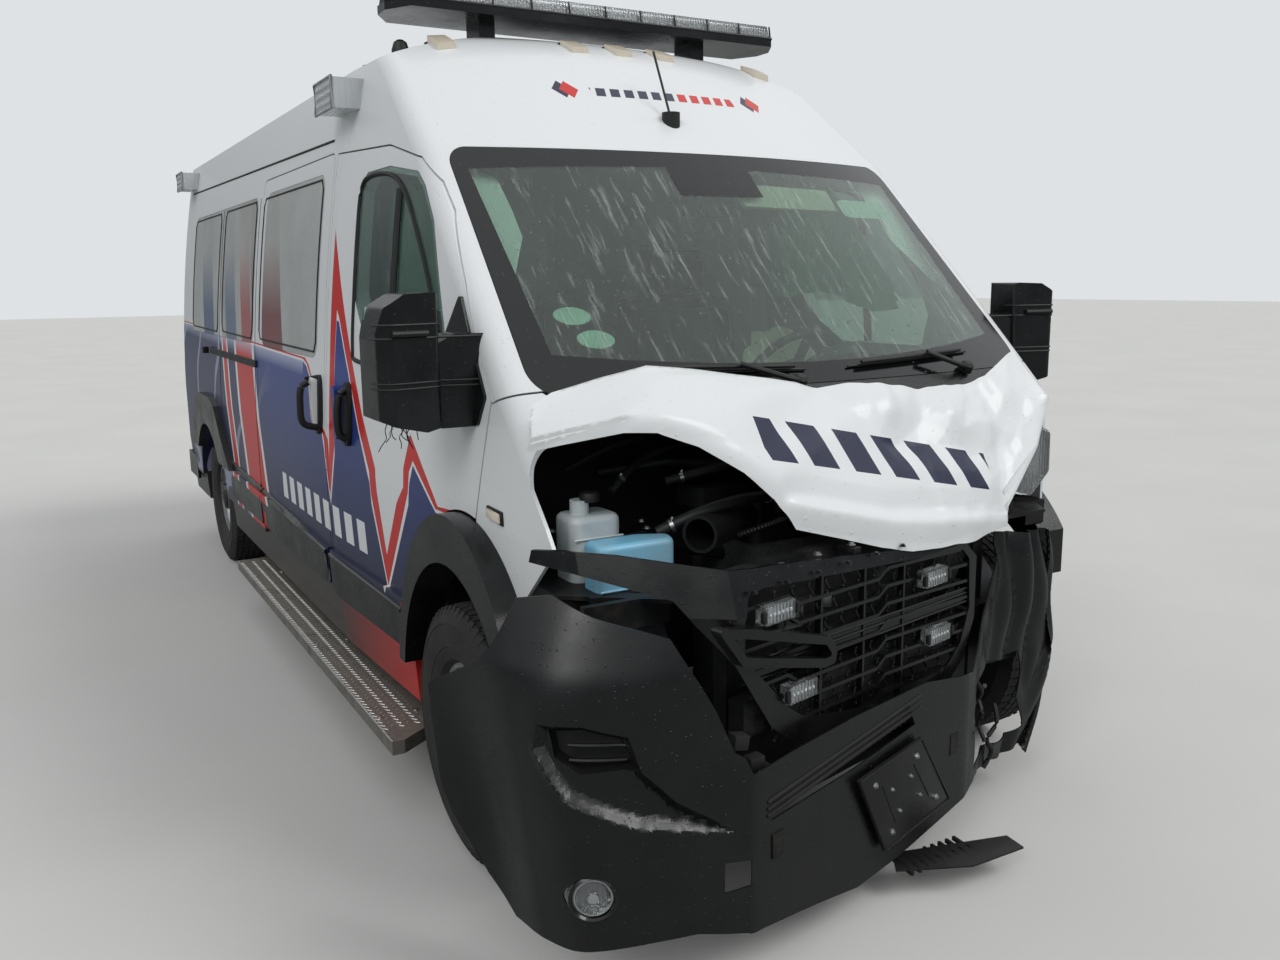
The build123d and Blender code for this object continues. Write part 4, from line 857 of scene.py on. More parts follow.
def make_finishes(looks):
    """Every finish by name: its kind of surface, real name, colour, worn or stained colour and grain."""
    finishes.update(
        wrap=enamel("Enamelled steel with printed vinyl wrap", looks, wrapped_sides),
        enamel=enamel("Sprayed white enamel", looks, marked_roof),
        enamel_plain=enamel("Sprayed white enamel, inner panels", looks),
        hood_enamel=enamel("Sprayed white enamel, lettered hood", looks, lettered_hood),
        insulation=moulded("Needled fibre insulation, black", "0C0D0E", "1A1B1C", 0.004, 0.9, 0.0006),
        polypropylene=moulded(
            "Moulded polypropylene, textured", "0B0C0D", "151618", 0.0016, 0.27, 0.0002, wet=0.4, dusty=0.1
        ),
        abs_black=moulded("Moulded ABS, satin black", "08090A", "121315", 0.003, 0.24, 0.00012, wet=0.45),
        abs_dull=moulded("Moulded ABS, dull black", "0B0C0D", "17181A", 0.0012, 0.55, 0.0002),
        vinyl_grey=moulded("Grained vinyl, dark grey", "2A2D30", "3A3D40", 0.0018, 0.6, 0.0003, dusty=0.0),
        liner=moulded("Glass-fibre liner, pale grey", "9DA3A5", "B4B8B9", 0.004, 0.5, 0.0001, dusty=0.1),
        underseal=moulded("Sprayed underseal, dark grey", "33353A", "4A4945", 0.006, 0.7, 0.0008),
        polyethylene=moulded(
            "Blown polyethylene, milky and blue", "C9D6DA", "8FA9B3", 0.01, 0.4, 0.0001, dusty=0.1,
            painted=tank_colour,
        ),
        visor_cream=moulded("Padded vinyl, cream", "CFCABB", "BEB8A8", 0.0018, 0.6, 0.0003, dusty=0.0),
        label_mint=moulded(
            "Printed label film, pale green", "C4DDD2", "B2CDC1", 0.01, 0.4, 0.0001, dusty=0.0
        ),
        seat_vinyl=woven("Woven seat cloth, black", "1C1E20", "2A2D30"),
        airbag_nylon=woven("Woven airbag nylon, beige", "C9C1AE", "B7AE9B", 0.003, 0.8, 0.2),
        curtain_nylon=woven("Woven curtain airbag nylon, pale green", "9AD8C4", "84C4B0", 0.003, 0.75, 0.2),
        steel_silver=metalled("Pressed steel, silver enamel", "9EA1A4", "6E675E", 0.36, 0.75),
        chassis_black=metalled("Pressed steel, black chassis paint", "1B1C1E", "4A3A2E", 0.55, 0.2),
        steel_black=metalled("Pressed steel, black primer", "121314", "3A3530", 0.45, 0.3),
        steel_exhaust=metalled(
            "Rolled stainless steel, heat stained", "8A8178", "5A4636", 0.4, 1.0, streak=8.0
        ),
        steel_plated=metalled("Zinc-plated steel", "B9BBBC", "85827A", 0.3, 1.0),
        cast_iron=metalled("Cast iron, rusted", "4B443D", "6B4129", 0.7, 0.6, 0.006, 0.0006),
        cast_alloy=metalled("Cast aluminium", "8C8F91", "54534F", 0.5, 0.9, 0.003, 0.0004),
        tread_plate=metalled(
            "Rolled aluminium tread plate", "88837B", "5F5850", 0.45, 0.5, 0.002, 0.0001, 12.0
        ),
        tread_worn=metalled(
            "Rolled aluminium tread plate, scuffed bright", "E4E3DF", "C6C2B8", 0.3, 0.7, 0.003, 0.00005
        ),
        chrome=metalled("Vacuum-plated chrome reflector", "D9DCDE", "AEB3B6", 0.12, 1.0, 0.05, 0.00005),
        mirror_silver=metalled("Silvered mirror glass", "D4D8DA", "C2C8CB", 0.1, 1.0, 0.05, 0.00002),
        glass_windshield=glazed("Laminated windshield glass", "C4DED0", 0.42, 0.25, windshield_border),
        glass_door=glazed("Tempered door glass", "C2D8CE", 0.12, 0.3),
        film=perforated_film("Perforated window film", looks),
        lens_clear=lens("Moulded clear polycarbonate", "EEF2F2", 0.92),
        lens_scene=lens("Moulded clear polycarbonate over chrome", "DDE1E3", 0.4, 0.02),
        lens_red=lens("Moulded red polycarbonate", "B01010", 0.5),
        lamp_amber=lens("Sun-yellowed polycarbonate", "F1E6D2", 0.15, 0.006),
        rubber=vulcanised("Vulcanised tyre rubber", "161617", "3B3834"),
        rubber_trim=moulded("Extruded rubber seal", "0E0F10", "1E1F20", 0.001, 0.62, 0.0001),
        rubber_hose=moulded("Moulded rubber hose", "101112", "2B2A28", 0.002, 0.5, 0.0002, dusty=0.2),
    )


def finish_of(node):
    """Finish of a carried node by its name."""
    return next(finish for start, finish in node_finishes if node.startswith(start))


class AMBULANCE_OT_finishes(bpy.types.Operator):
    """Make every finish and give each carried node its own"""

    bl_idname = "ambulance.finishes"
    bl_label = "Finishes"

    def execute(self, context):
        """Make the materials and fill the carried nodes' slots."""
        make_finishes(context.scene.ambulance_looks)
        for name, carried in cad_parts.items():
            for slot in carried.material_slots:
                slot.material = finishes[finish_of(name)]
        return {"FINISHED"}


class AMBULANCE_OT_stage(bpy.types.Operator):
    """Lay the pale floor and set the soft light and the camera"""

    bl_idname = "ambulance.stage"
    bl_label = "Stage"

    def execute(self, context):
        """Make the floor, the sky, two broad lamps and the camera."""
        looks = context.scene.ambulance_looks
        context.scene.view_settings.view_transform = "Standard"
        self.floor(context)
        self.sky(context, looks)
        self.lamps(context, looks)
        self.camera(context, looks)
        return {"FINISHED"}

    def floor(self, context):
        """Wide pale floor, darker to the light that it throws back up."""
        shape = bmesh.new()
        bmesh.ops.create_grid(shape, x_segments=1, y_segments=1, size=60.0)
        mesh = mesh_of("stage_floor", shape)
        floor = bpy.data.objects.new("stage_floor", mesh)
        context.collection.objects.link(floor)
        ground, tree, place = started("Pale concrete floor")
        cloud = clouds_of(tree, place, 0.8, 6.0)
        pale = blended(tree, cloud, linear("C9C9C6"), linear("D6D6D3"))
        seen = add(tree, "ShaderNodeLightPath").node.outputs["Is Camera Ray"]
        shaded(tree, {"Base Color": blended(tree, seen, linear("8E908F"), pale), "Roughness": 0.9})
        mesh.materials.append(ground)

    def sky(self, context, looks):
        """Even light from all round, dark near the ground where it is mirrored, pale to the camera."""
        world = bpy.data.worlds.new("Even daylight")
        context.scene.world = world
        world.use_nodes = True
        tree = world.node_tree
        tree.nodes.clear()
        rays = add(tree, "ShaderNodeLightPath").node.outputs
        light = add(tree, "ShaderNodeBackground", {"Color": linear("F4F6F8"), "Strength": looks.light_level})
        rise = parted(tree, add(tree, "ShaderNodeTexCoord").node.outputs["Generated"])["Z"]
        tone = ranged(tree, rise, 0.02, 0.55, kind="SMOOTHSTEP")
        seen_sky = blended(tree, tone, linear("5E6468"), linear("F4F6F8"))
        glossy = add(tree, "ShaderNodeBackground", {"Color": seen_sky, "Strength": 1.0})
        light = add(tree, "ShaderNodeMixShader", {"Fac": rays["Is Glossy Ray"], 1: light, 2: glossy})
        pale = add(tree, "ShaderNodeBackground", {"Color": linear("DFE2E5"), "Strength": 1.0})
        mixed = add(tree, "ShaderNodeMixShader", {"Fac": rays["Is Camera Ray"], 1: light, 2: pale})
        add(tree, "ShaderNodeOutputWorld", {"Surface": mixed})

    def lamps(self, context, looks):
        """Two broad lamps, their tilt off upright and turn in degrees."""
        for name, power, tilt, turn in (
            ("Key lamp", looks.sun_level, 45, 45), ("Fill lamp", looks.fill_level, 55, -55)
        ):
            lamp = bpy.data.lights.new(name, "SUN")
            lamp.energy = power
            lamp.angle = math.radians(28)
            made = bpy.data.objects.new(name, lamp)
            made.rotation_euler = (math.radians(tilt), 0, math.radians(turn))
            context.collection.objects.link(made)

    def camera(self, context, looks):
        """Camera at the photograph's viewpoint."""
        data = bpy.data.cameras.new("Photograph's viewpoint")
        data.sensor_width = 36.0
        data.lens = looks.camera_lens
        camera = bpy.data.objects.new("Photograph's viewpoint", data)
        context.collection.objects.link(camera)
        turn = Matrix.Rotation(-math.radians(camera_yaw), 4, "Z")
        turn = turn @ Matrix.Rotation(math.pi / 2 + math.radians(camera_pitch), 4, "X")
        turn = turn @ Matrix.Rotation(camera_roll, 4, "Z")
        camera.matrix_world = Matrix.Translation(at(*camera_place)) @ turn
        context.scene.camera = camera


# Crushed nose: outlines as (x, z) in millimetres, of the fascia, its pocket, scoop, slot, tear and plate
fascia_plan = {
    # height: (x, s) from the right wheel arch to the left one
    40: [
        (-1125, 550), (-1085, 430), (-1065, 250), (-1010, 130), (-850, 60), (-668, 3), (243, 235), (480, 360),
        (700, 410), (740, 470),
    ],
    450: [
        (-1212, 550), (-1140, 430), (-1120, 250), (-1060, 115), (-880, 40), (-668, 3), (243, 235), (500, 370),
        (862, 436), (880, 492),
    ],
    790: [
        (-1240, 550), (-1195, 430), (-1150, 270), (-1060, 140), (-860, 45), (-668, 3), (243, 235), (520, 375),
        (790, 425), (805, 490),
    ],
    1000: [
        (-1185, 560), (-1135, 450), (-1085, 330), (-990, 205), (-850, 110), (-668, 4), (243, 236), (520, 405),
        (780, 450), (790, 492),
    ],
}
fascia_outline = [
    (-1238, 700), (-1197, 757), (-1150, 850), (-1100, 950), (-1045, 966), (-985, 926), (-846, 880),
    (-815, 815), (-760, 716), (-716, 612), (-690, 596), (-668, 552), (-480, 566), (-282, 573), (24, 572),
    (200, 540), (285, 530), (330, 590), (400, 690), (505, 813), (520, 880), (640, 862), (790, 846),
    (815, 780), (850, 640), (870, 500), (860, 380), (852, 270), (800, 190), (735, 112), (690, 150),
    (560, 142), (430, 166), (305, 172), (100, 140), (-81, 114), (-263, 102), (-430, 130), (-621, 157),
    (-800, 188), (-1012, 170), (-1092, 132), (-1225, 455),
]
recess_outline = [(-1102, 684), (-1040, 692), (-958, 670), (-925, 600), (-1050, 588), (-1097, 622)]
scoop_outline = [
    (-1112, 700), (-1040, 704), (-950, 678), (-925, 596), (-852, 520), (-780, 474), (-718, 428), (-745, 431),
    (-845, 453), (-934, 470), (-1008, 503), (-1070, 533), (-1094, 575), (-1116, 640),
]
slot_outline = [(-610, 478), (-300, 510), (-60, 538), (-26, 470), (-300, 436), (-604, 417)]
torn_outline = [
    (345, 440), (440, 492), (560, 470), (640, 482), (672, 400), (640, 330), (684, 220), (560, 205),
    (430, 232), (352, 190),
]
plate_corners = [(380, 411), (669, 438), (829, 206), (509, 171)]
fog_x, fog_z = -1025, 305
fog_hole = 49

# Sheet of the fascia: its step, inset and waves in millimetres, its thickness in metres
sheet_step = 12.0
sheet_inset = 5
sheet_wave = 3.0
sheet_thickness = 0.004
# Runs of the plan over which the crushed part starts, and its sharp folds and soft waves in millimetres
crush_from, crush_over = 6.2, 0.8
crush_fold, crush_wave = 26.0, 18.0
# Scoop round the slot, and the lip that stands out round it, in millimetres
scoop_depth = 24.0
scoop_lip = 4.0


def on_plan(line, t):
    """(x, s) at a share t of a plan line, curved over the right end and straight over the pushed-in front."""
    i = min(int(t), len(line) - 2)
    part = t - i
    (x0, s0), (x1, s1) = line[i], line[i + 1]
    if i >= 5:
        return x0 + (x1 - x0) * part, s0 + (s1 - s0) * part
    before = line[max(i - 1, 0)]
    after = line[i + 2] if i < 4 else (line[5][0] + 160, line[5][1] + 10)
    out = []
    for a, b, c, d in zip(before, line[i], line[i + 1], after):
        bend = (2 * a - 5 * b + 4 * c - d) * part**2
        out.append(0.5 * (2 * b + (c - a) * part + bend + (3 * b - a - 3 * c + d) * part**3))
    return out


def fascia_face(t, z):
    """(x, s) of the fascia's face at a share t along it and a height z, its level creases rounded over."""
    heights = list(fascia_plan)
    total = Vector((0, 0))
    for shift in (-26.0, -13.0, 0.0, 13.0, 26.0):
        level = min(max(z + shift, heights[0]), heights[-1] - 0.01)
        k = max(i for i, h in enumerate(heights[:-1]) if h <= level)
        share = (level - heights[k]) / (heights[k + 1] - heights[k])
        low = Vector(on_plan(fascia_plan[heights[k]], t))
        total += low.lerp(Vector(on_plan(fascia_plan[heights[k + 1]], t)), share)
    return total / 5


def share_at(x, z):
    """Share along the fascia where its face has a given x at a height z."""
    low, high = 0.0, 9.0
    for _ in range(30):
        middle = (low + high) / 2
        if fascia_face(middle, z).x < x:
            low = middle
        else:
            high = middle
    return (low + high) / 2


def fascia_inward(t, z):
    """Level direction from the fascia's face into the vehicle."""
    ahead = fascia_face(min(t + 0.05, 9.0), z) - fascia_face(max(t - 0.05, 0.0), z)
    return Vector((-ahead.y, ahead.x, 0)).normalized()


def fascia_point(t, z):
    """Point of the fascia's face, scooped under its slot, waved, and crumpled where it was pushed in."""
    face = fascia_face(t, z)
    inward = fascia_inward(t, z).xy
    crushed = min(max((t - crush_from) / crush_over, 0.0), 1.0)
    soft = noise.noise(Vector((t * 1.3, z / 210, 4.0)))
    sharp = 1 - 2 * abs(noise.noise(Vector((t * 2.6, z / 330, 9.0))))
    edge = min(1.0, t / 0.4)
    folds = crushed * (crush_fold * sharp + crush_wave * soft)
    face += inward * (sheet_inset + edge * (sheet_wave * soft * (1 - crushed) + folds))
    place = Vector((t * share_width, z))
    if inside(place, scoop_loop):
        face += inward * scoop_depth * min(1.0, near_line(place, scoop_loop + scoop_loop[:1]) / 20.0)
    else:
        face -= inward * scoop_lip * max(0.0, 1 - near_line(place, scoop_loop[6:]) / 22.0)
    return at(face.x, max(face.y, 1.0), z)


def near_line(place, line):
    """Distance from a flat place to a line of runs, in millimetres."""
    return min((place - foot_on(place, Vector(a), Vector(b))).length for a, b in zip(line, line[1:]))


def foot_on(place, a, b):
    """Nearest point to a place on the run from a to b."""
    share = (place - a).dot(b - a) / (b - a).length_squared
    return a.lerp(b, min(max(share, 0.0), 1.0))


def inside(point, loop):
    """True where a flat point lies inside a closed loop."""
    found = False
    for (x0, y0), (x1, y1) in zip(loop, loop[1:] + loop[:1]):
        if (y0 > point[1]) != (y1 > point[1]) and point[0] < (x1 - x0) * (point[1] - y0) / (y1 - y0) + x0:
            found = not found
    return found


def stepped(loop, step):
    """Closed loop with points added so that no run is longer than a step."""
    run = []
    for (x0, y0), (x1, y1) in zip(loop, loop[1:] + loop[:1]):
        count = max(1, math.ceil(math.hypot(x1 - x0, y1 - y0) / step))
        run += [(x0 + (x1 - x0) * k / count, y0 + (y1 - y0) * k / count) for k in range(count)]
    return run


# Millimetres along the sheet given to each run of the fascia's plan
share_width = 250.0
scoop_loop = [(share_at(x, z) * share_width, z) for x, z in scoop_outline]


def trimmed(flat, faces):
    """Faces of a flat mesh without the slivers that hang on its rim by one edge."""
    while True:
        sides = {face: [frozenset(pair) for pair in zip(face, face[1:] + face[:1])] for face in faces}
        uses = Counter(side for face in faces for side in sides[face])
        kept = []
        for face in faces:
            a, b, c = (flat[k] for k in face)
            free = sum(uses[side] == 1 for side in sides[face])
            if free < 2 or abs((b - a).cross(c - a)) > 0.1:
                kept.append(face)
        if len(kept) == len(faces):
            return kept
        faces = kept


def cut_sheet(shape, outline, holes, creases):
    """Fascia's sheet cut to a flat outline with holes, its edges laid along the creases."""
    points = []
    edges = []
    for loop in [outline] + holes + creases:
        run = stepped(loop, sheet_step)
        start = len(points)
        points += [Vector(p) for p in run]
        edges += [(start + k, start + (k + 1) % len(run)) for k in range(len(run))]
    xs = [p[0] for p in outline]
    ys = [p[1] for p in outline]
    for i in range(1, int((max(xs) - min(xs)) / sheet_step)):
        for j in range(1, int((max(ys) - min(ys)) / sheet_step)):
            point = (min(xs) + (i + 0.5 * (j % 2)) * sheet_step, min(ys) + j * sheet_step)
            if inside(point, outline):
                points.append(Vector(point))
    flat, _, faces, *_ = delaunay_2d_cdt(points, edges, [], 0, 1e-4)
    kept = []
    for face in faces:
        middle = sum((flat[k] for k in face), Vector((0, 0))) / len(face)
        if inside(middle, outline) and not any(inside(middle, hole) for hole in holes):
            kept.append(tuple(face))
    kept = trimmed(flat, kept)
    front = {}
    rear = {}
    for k in sorted({k for face in kept for k in face}):
        t = flat[k].x / share_width
        point = fascia_point(t, flat[k].y)
        front[k] = shape.verts.new(point)
        rear[k] = shape.verts.new(point + fascia_inward(t, flat[k].y) * sheet_thickness)
    made = []
    for face in kept:
        made.append(shape.faces.new([front[k] for k in face]))
        made.append(shape.faces.new([rear[k] for k in reversed(face)]))
    rims = {}
    for face in kept:
        for a, b in zip(face, face[1:] + face[:1]):
            rims[(a, b)] = rims.get((b, a), 0)
            if (b, a) in rims:
                rims[(b, a)] = rims[(a, b)] = 1
    for (a, b), shared in rims.items():
        if not shared:
            made.append(shape.faces.new((front[b], front[a], rear[a], rear[b])))
    bmesh.ops.recalc_face_normals(shape, faces=made)


def fascia_loop(outline):
    """(x, z) outline as (share, z) on the fascia, the share drawn out to near millimetres."""
    return [(share_at(x, z) * share_width, z) for x, z in stepped(outline, 90.0)]


def drawn_in(loop, share):
    """Flat loop scaled about its middle."""
    middle = sum((Vector(p) for p in loop), Vector((0, 0))) / len(loop)
    return [middle + (Vector(p) - middle) * share for p in loop]


class AMBULANCE_OT_bumper(bpy.types.Operator):
    """Torn front fascia with its recess, louvres, plate holder and scraps"""

    bl_idname = "ambulance.bumper"
    bl_label = "Bumper"

    def execute(self, context):
        """Lay the fascia's sheet, then the pieces that sit in its holes."""
        fog = [
            (fog_x + fog_hole * math.cos(k * math.pi / 12), fog_z + fog_hole * math.sin(k * math.pi / 12))
            for k in range(24)
        ]
        tow = [(-737, 352), (-668, 345), (-668, 284), (-737, 278)]
        holes = [fascia_loop(loop) for loop in (recess_outline, slot_outline, torn_outline, fog, tow)]
        creases = [drawn_in(scoop_loop, share) for share in (0.86, 0.999, 1.12)]
        face = bmesh.new()
        cut_sheet(face, fascia_loop(fascia_outline), holes, creases)
        fascia = piece("bumper_fascia", face, "polypropylene", sharp=32)
        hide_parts("bumper")
        self.recess()
        self.louvres()
        self.plate_holder()
        self.fog_bezel()
        self.torn_edges()
        return {"FINISHED"}

    def recess(self):
        """Pocket behind the right recess, with two level ribs."""
        pocket = bmesh.new()
        run = stepped(recess_outline, 40.0)
        middle = Vector((sum(p[0] for p in run) / len(run), sum(p[1] for p in run) / len(run)))
        front = [fascia_point(share_at(x, z), z) for x, z in run]
        rear = []
        for x, z in run:
            back = middle + (Vector((x, z)) - middle) * 0.86
            rear.append(fascia_point(share_at(back.x, back.y), back.y) + Vector((0.016, 0.04, 0)))
        first = [pocket.verts.new(p) for p in front]
        second = [pocket.verts.new(p) for p in rear]
        faces = [pocket.faces.new(second)] + banded(pocket, first, second)
        bmesh.ops.recalc_face_normals(pocket, faces=faces)
        if faces[0].normal.y > 0:
            bmesh.ops.reverse_faces(pocket, faces=faces)
        bmesh.ops.solidify(pocket, geom=faces, thickness=0.0025)
        for z in (612, 646):
            line = [
                fascia_point(share_at(x, z), z) + Vector((0.012, 0.012, 0)) for x in range(-1075, -935, 20)
            ]
            tube(pocket, line, 0.0045, 6)
        piece("bumper_recess", pocket, "abs_dull")

    def louvres(self):
        """Slanted louvres across the lower slot, with upright ribs behind."""
        bars = bmesh.new()
        for drop in (14, 31, 48):
            loop = [(52, 483 - drop), (690, 560 - drop), (690, 553 - drop), (52, 476 - drop)]
            prism(bars, [pushed(u, 4, z) for u, z in loop], pushed(0, 32, 8) - pushed(0, 4, 0), 0.001)
        piece("bumper_louvres", bars, "abs_dull")
        rib = bmesh.new()
        prism(
            rib, [pushed(60, 20, 420), pushed(64, 20, 420), pushed(64, 20, 486), pushed(60, 20, 486)],
            pushed(0, 26, 0) - pushed(0, 20, 0),
        )
        step = pushed(23, 0, 2.3) - pushed(0, 0, 0)
        repeated("bumper_slot_ribs", rib, "abs_dull", 26, step)

    def plate_holder(self):
        """Bare plate holder knocked askew, with a raised rim, two ribs and eight screws."""
        holder = bmesh.new()
        outer = [pushed(p.x, -13, p.y) for p in drawn_in(plate_corners, 1.0)]
        prism(holder, outer, pushed(0, 0, 0) - pushed(0, -9, 0), 0.002)
        rim = drawn_in(plate_corners, 0.97)
        for a, b in zip(rim, rim[1:] + rim[:1]):
            tube(holder, [pushed(a.x, -13, a.y), pushed(b.x, -13, b.y)], 0.003, 6)
        ribs = drawn_in(plate_corners, 0.5)
        for a, b in ((ribs[0], ribs[3]), (ribs[1], ribs[2])):
            tube(holder, [pushed(a.x, -13, a.y), pushed(b.x, -13, b.y)], 0.0022, 6)
        piece("plate_holder", holder, "abs_black")
        screws = bmesh.new()
        facing = pushed(0, -10, 0) - pushed(0, 0, 0)
        for share, radius in ((0.66, 0.006), (0.3, 0.004)):
            for p in drawn_in(plate_corners, share):
                bolt(screws, pushed(p.x, -13.5, p.y), facing, radius)
        piece("plate_screws", screws, "steel_plated")

    def fog_bezel(self):
        """Ring and reflector round the right fog lamp."""
        facing = Matrix.Rotation(math.radians(-28), 3, "Z") @ Vector((0, -1, 0))
        centre = fascia_point(share_at(fog_x, fog_z), fog_z)
        ring = bmesh.new()
        turned(
            ring, [(0.047, -0.02), (0.053, -0.02), (0.055, 0.002), (0.05, 0.006), (0.046, 0.0)], centre,
            facing, 40,
        )
        piece("fog_lamp_bezel", ring, "abs_black")
        inner = bmesh.new()
        turned(inner, [(0.04, -0.03), (0.043, -0.004), (0.0405, -0.004), (0.037, -0.03)], centre, facing, 40)
        turned(inner, [(0.0, 0.001), (0.012, 0.0), (0.014, -0.01), (0.0, -0.012)], centre, facing, 24)
        piece("fog_lamp_reflector", inner, "chrome")

    def torn_edges(self):
        """Hanging scraps, the undertray flap and broken ribs at the tear."""
        random.seed(7)
        scraps = bmesh.new()
        flap = [(-43, 224), (300, 129), (290, 60), (100, 62), (-97, 150)]
        loop = [at(x, s, 74) for x, s in flap]
        prism(scraps, loop, Vector((0, 0, 0.006)), 0.001)
        for k in range(9):
            loop = [at(x + 28 * k, s, 68) for x, s in ((-60, 205), (-52, 203), (-60, 120), (-68, 122))]
            prism(scraps, loop, Vector((0, 0, 0.012)))
        for u, z, drop in ((1080, 470, 150), (1150, 440, 190), (1010, 330, 140), (1190, 360, 210)):
            top = pushed(u, 70, z)
            route = [
                top + Vector((random.uniform(-0.03, 0.03), random.uniform(-0.03, 0.03), -drop / 1000 * k / 4))
                for k in range(5)
            ]
            tube(scraps, curved(route, 4), 0.007, 6)
        for u, v, z in ((20, 30, 540), (60, 36, 500), (120, 34, 470), (-20, 44, 600)):
            brick(
                scraps, pushed(u, v, z), pushed(u + 46, v + 22, z + 34), 0.002,
                Matrix.Rotation(random.uniform(-0.5, 0.5), 3, "Y"),
            )
        piece("bumper_scraps", scraps, "abs_dull")


class AMBULANCE_OT_hood(bpy.types.Operator):
    """Buckled hood sheet with a folded lip and dents"""

    bl_idname = "ambulance.hood"
    bl_label = "Hood"

    def execute(self, context):
        """Divide a copy of the hood finely, round its folds and press the dents in."""
        looks = context.scene.ambulance_looks
        sheet = copied("hood")
        bmesh.ops.triangulate(sheet, faces=sheet.faces)
        for _ in range(5):
            long_edges = [e for e in sheet.edges if e.calc_length() > hood_edge]
            bmesh.ops.subdivide_edges(sheet, edges=long_edges, cuts=1, use_grid_fill=True)
            bmesh.ops.triangulate(sheet, faces=sheet.faces)
            soft = [v for v in sheet.verts if not any(e.calc_face_angle(0) > 1.0 for e in v.link_edges)]
            bmesh.ops.smooth_vert(
                sheet, verts=soft, factor=0.45, use_axis_x=True, use_axis_y=True, use_axis_z=True
            )
        bmesh.ops.dissolve_degenerate(sheet, dist=0.0003, edges=sheet.edges[:])
        bmesh.ops.holes_fill(sheet, edges=[edge for edge in sheet.edges if edge.is_boundary])
        bmesh.ops.triangulate(sheet, faces=sheet.faces)
        for vert in sheet.verts:
            vert.co += hood_dent(vert.co, looks.crumple)
        made = piece("hood_sheet", sheet, "hood_enamel", sharp=38)
        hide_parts("hood")
        return {"FINISHED"}


# Longest edge of the hood's fine mesh, in metres
hood_edge = 0.018
# Creases of the hood: depth, half width and (x, z) points, all in millimetres
hood_creases = [
    (-13, 75, [(-122, 1359), (11, 1207), (319, 1170)]),
    (-11, 60, [(241, 1313), (268, 1279), (198, 1244), (67, 1201)]),
    (12, 60, [(268, 1279), (360, 1203), (479, 1153)]),
    (-12, 70, [(470, 1330), (341, 1205), (479, 1153), (533, 1187), (510, 1217)]),
    (13, 70, [(720, 1395), (628, 1308), (524, 1216), (341, 1205)]),
    (9, 45, [(92, 1324), (75, 1281)]),
    (-9, 55, [(424, 1010), (479, 1153)]),
    (14, 42, [(-377, 1077), (-57, 996), (424, 940)]),
    (-10, 40, [(-377, 1130), (-57, 1050), (424, 1000)]),
    (-9, 90, [(-700, 1290), (-420, 1240), (-122, 1359)]),
]


def hood_dent(point, depth):
    """Shift of the hood at a point: creases and dents towards the left, gentle waves towards the right."""
    left = min(max((point.x + 0.15) / 0.5, 0.12), 1.0)
    place = Vector((point.x * 1000, point.z * 1000))
    rise = sum(deep * max(0.0, 1 - near_line(place, line) / wide) for deep, wide, line in hood_creases)
    rise /= 1000
    ridge = 1 - 2 * abs(noise.noise(Vector((point.x * 5.5, 3.0, point.z * 5.0 + point.x * 2.0))))
    small = 1 - 2 * abs(noise.noise(Vector((point.x * 13.0, 8.0, point.z * 11.0))))
    wave = noise.noise(Vector((point.x * 2.2, 1.0, point.z * 2.2)))
    rise += depth * (left * (0.6 * ridge - 0.3 + 0.3 * small) + 0.5 * wave)
    return Vector((0, -0.5, 0.85)) * rise


# Grille and engine bay: the flashing lamps as (u, z) in millimetres
lamp_places = [(138, 889), (813, 836), (228, 675), (840, 667)]


class AMBULANCE_OT_grille(bpy.types.Operator):
    """Wavy links, lamp reflectors and rain-beaded strip of the broken grille"""

    bl_idname = "ambulance.grille"
    bl_label = "Grille"

    def execute(self, context):
        """Add the links between the bars, the edging and the four flashing lamps' insides."""
        self.links()
        self.lamps()
        self.edging()
        return {"FINISHED"}

    def links(self):
        """Short wavy links standing between the grille's level bars."""
        shape = bmesh.new()
        for row in range(7):
            z = 562 + 54 * row
            for k in range(13):
                u = 150 + 66 * k + (33 if row % 2 else 0)
                if not 90 < u < 1010 or z > 915 - 0.06 * abs(u - 600):
                    continue
                route = [pushed(u + dx, 72, z + dz) for dx, dz in ((0, 2), (7, 14), (-7, 32), (0, 46))]
                tube(shape, curved(route, 3), 0.0035, 6)
        piece("grille_links", shape, "abs_black")

    def lamps(self):
        """Chrome tray, six emitters and two clips in each flashing lamp."""
        trays = bmesh.new()
        emitters = bmesh.new()
        clips = bmesh.new()
        for u, z in lamp_places:
            brick_in_front(trays, u, 52, z, 92, 5, 40)
            for k in range(6):
                place = pushed(u - 37.5 + 15 * k, 48, z)
                ahead = pushed(0, -1, 0) - pushed(0, 0, 0)
                turned(
                    emitters, [(0, -0.002), (0.006, -0.002), (0.0055, 0.003), (0.003, 0.0055), (0, 0.006)],
                    place, ahead, 12,
                )
            for side in (-1, 1):
                brick_in_front(clips, u + side * 60, 50, z, 12, 10, 26)
        piece("grille_lamp_trays", trays, "chrome")
        piece("grille_lamp_emitters", emitters, "lens_scene")
        piece("grille_lamp_clips", clips, "abs_dull")

    def edging(self):
        """Raised beads along the crossing bars, with clips on the header."""
        shape = bmesh.new()
        for low, high in ((738, 722), (764, 748), (786, 762)):
            tube(shape, [pushed(30, 66, low), pushed(1010, 66, high)], 0.0035, 6)
        for k in range(9):
            u = 60 + 120 * k
            bolt(shape, pushed(u, 60, 948), upward, 0.006)
        piece("grille_edging", shape, "abs_black")


def brick_in_front(shape, u, v, z, wide, deep, high, bevel=0.0015):
    """Block square to the pushed-in front, centred at (u, v, z), sizes in millimetres."""
    loop = [pushed(u + a * wide / 2, v, z + b * high / 2) for a, b in corner_signs]
    prism(shape, loop, pushed(0, -deep, 0) - pushed(0, 0, 0), bevel)


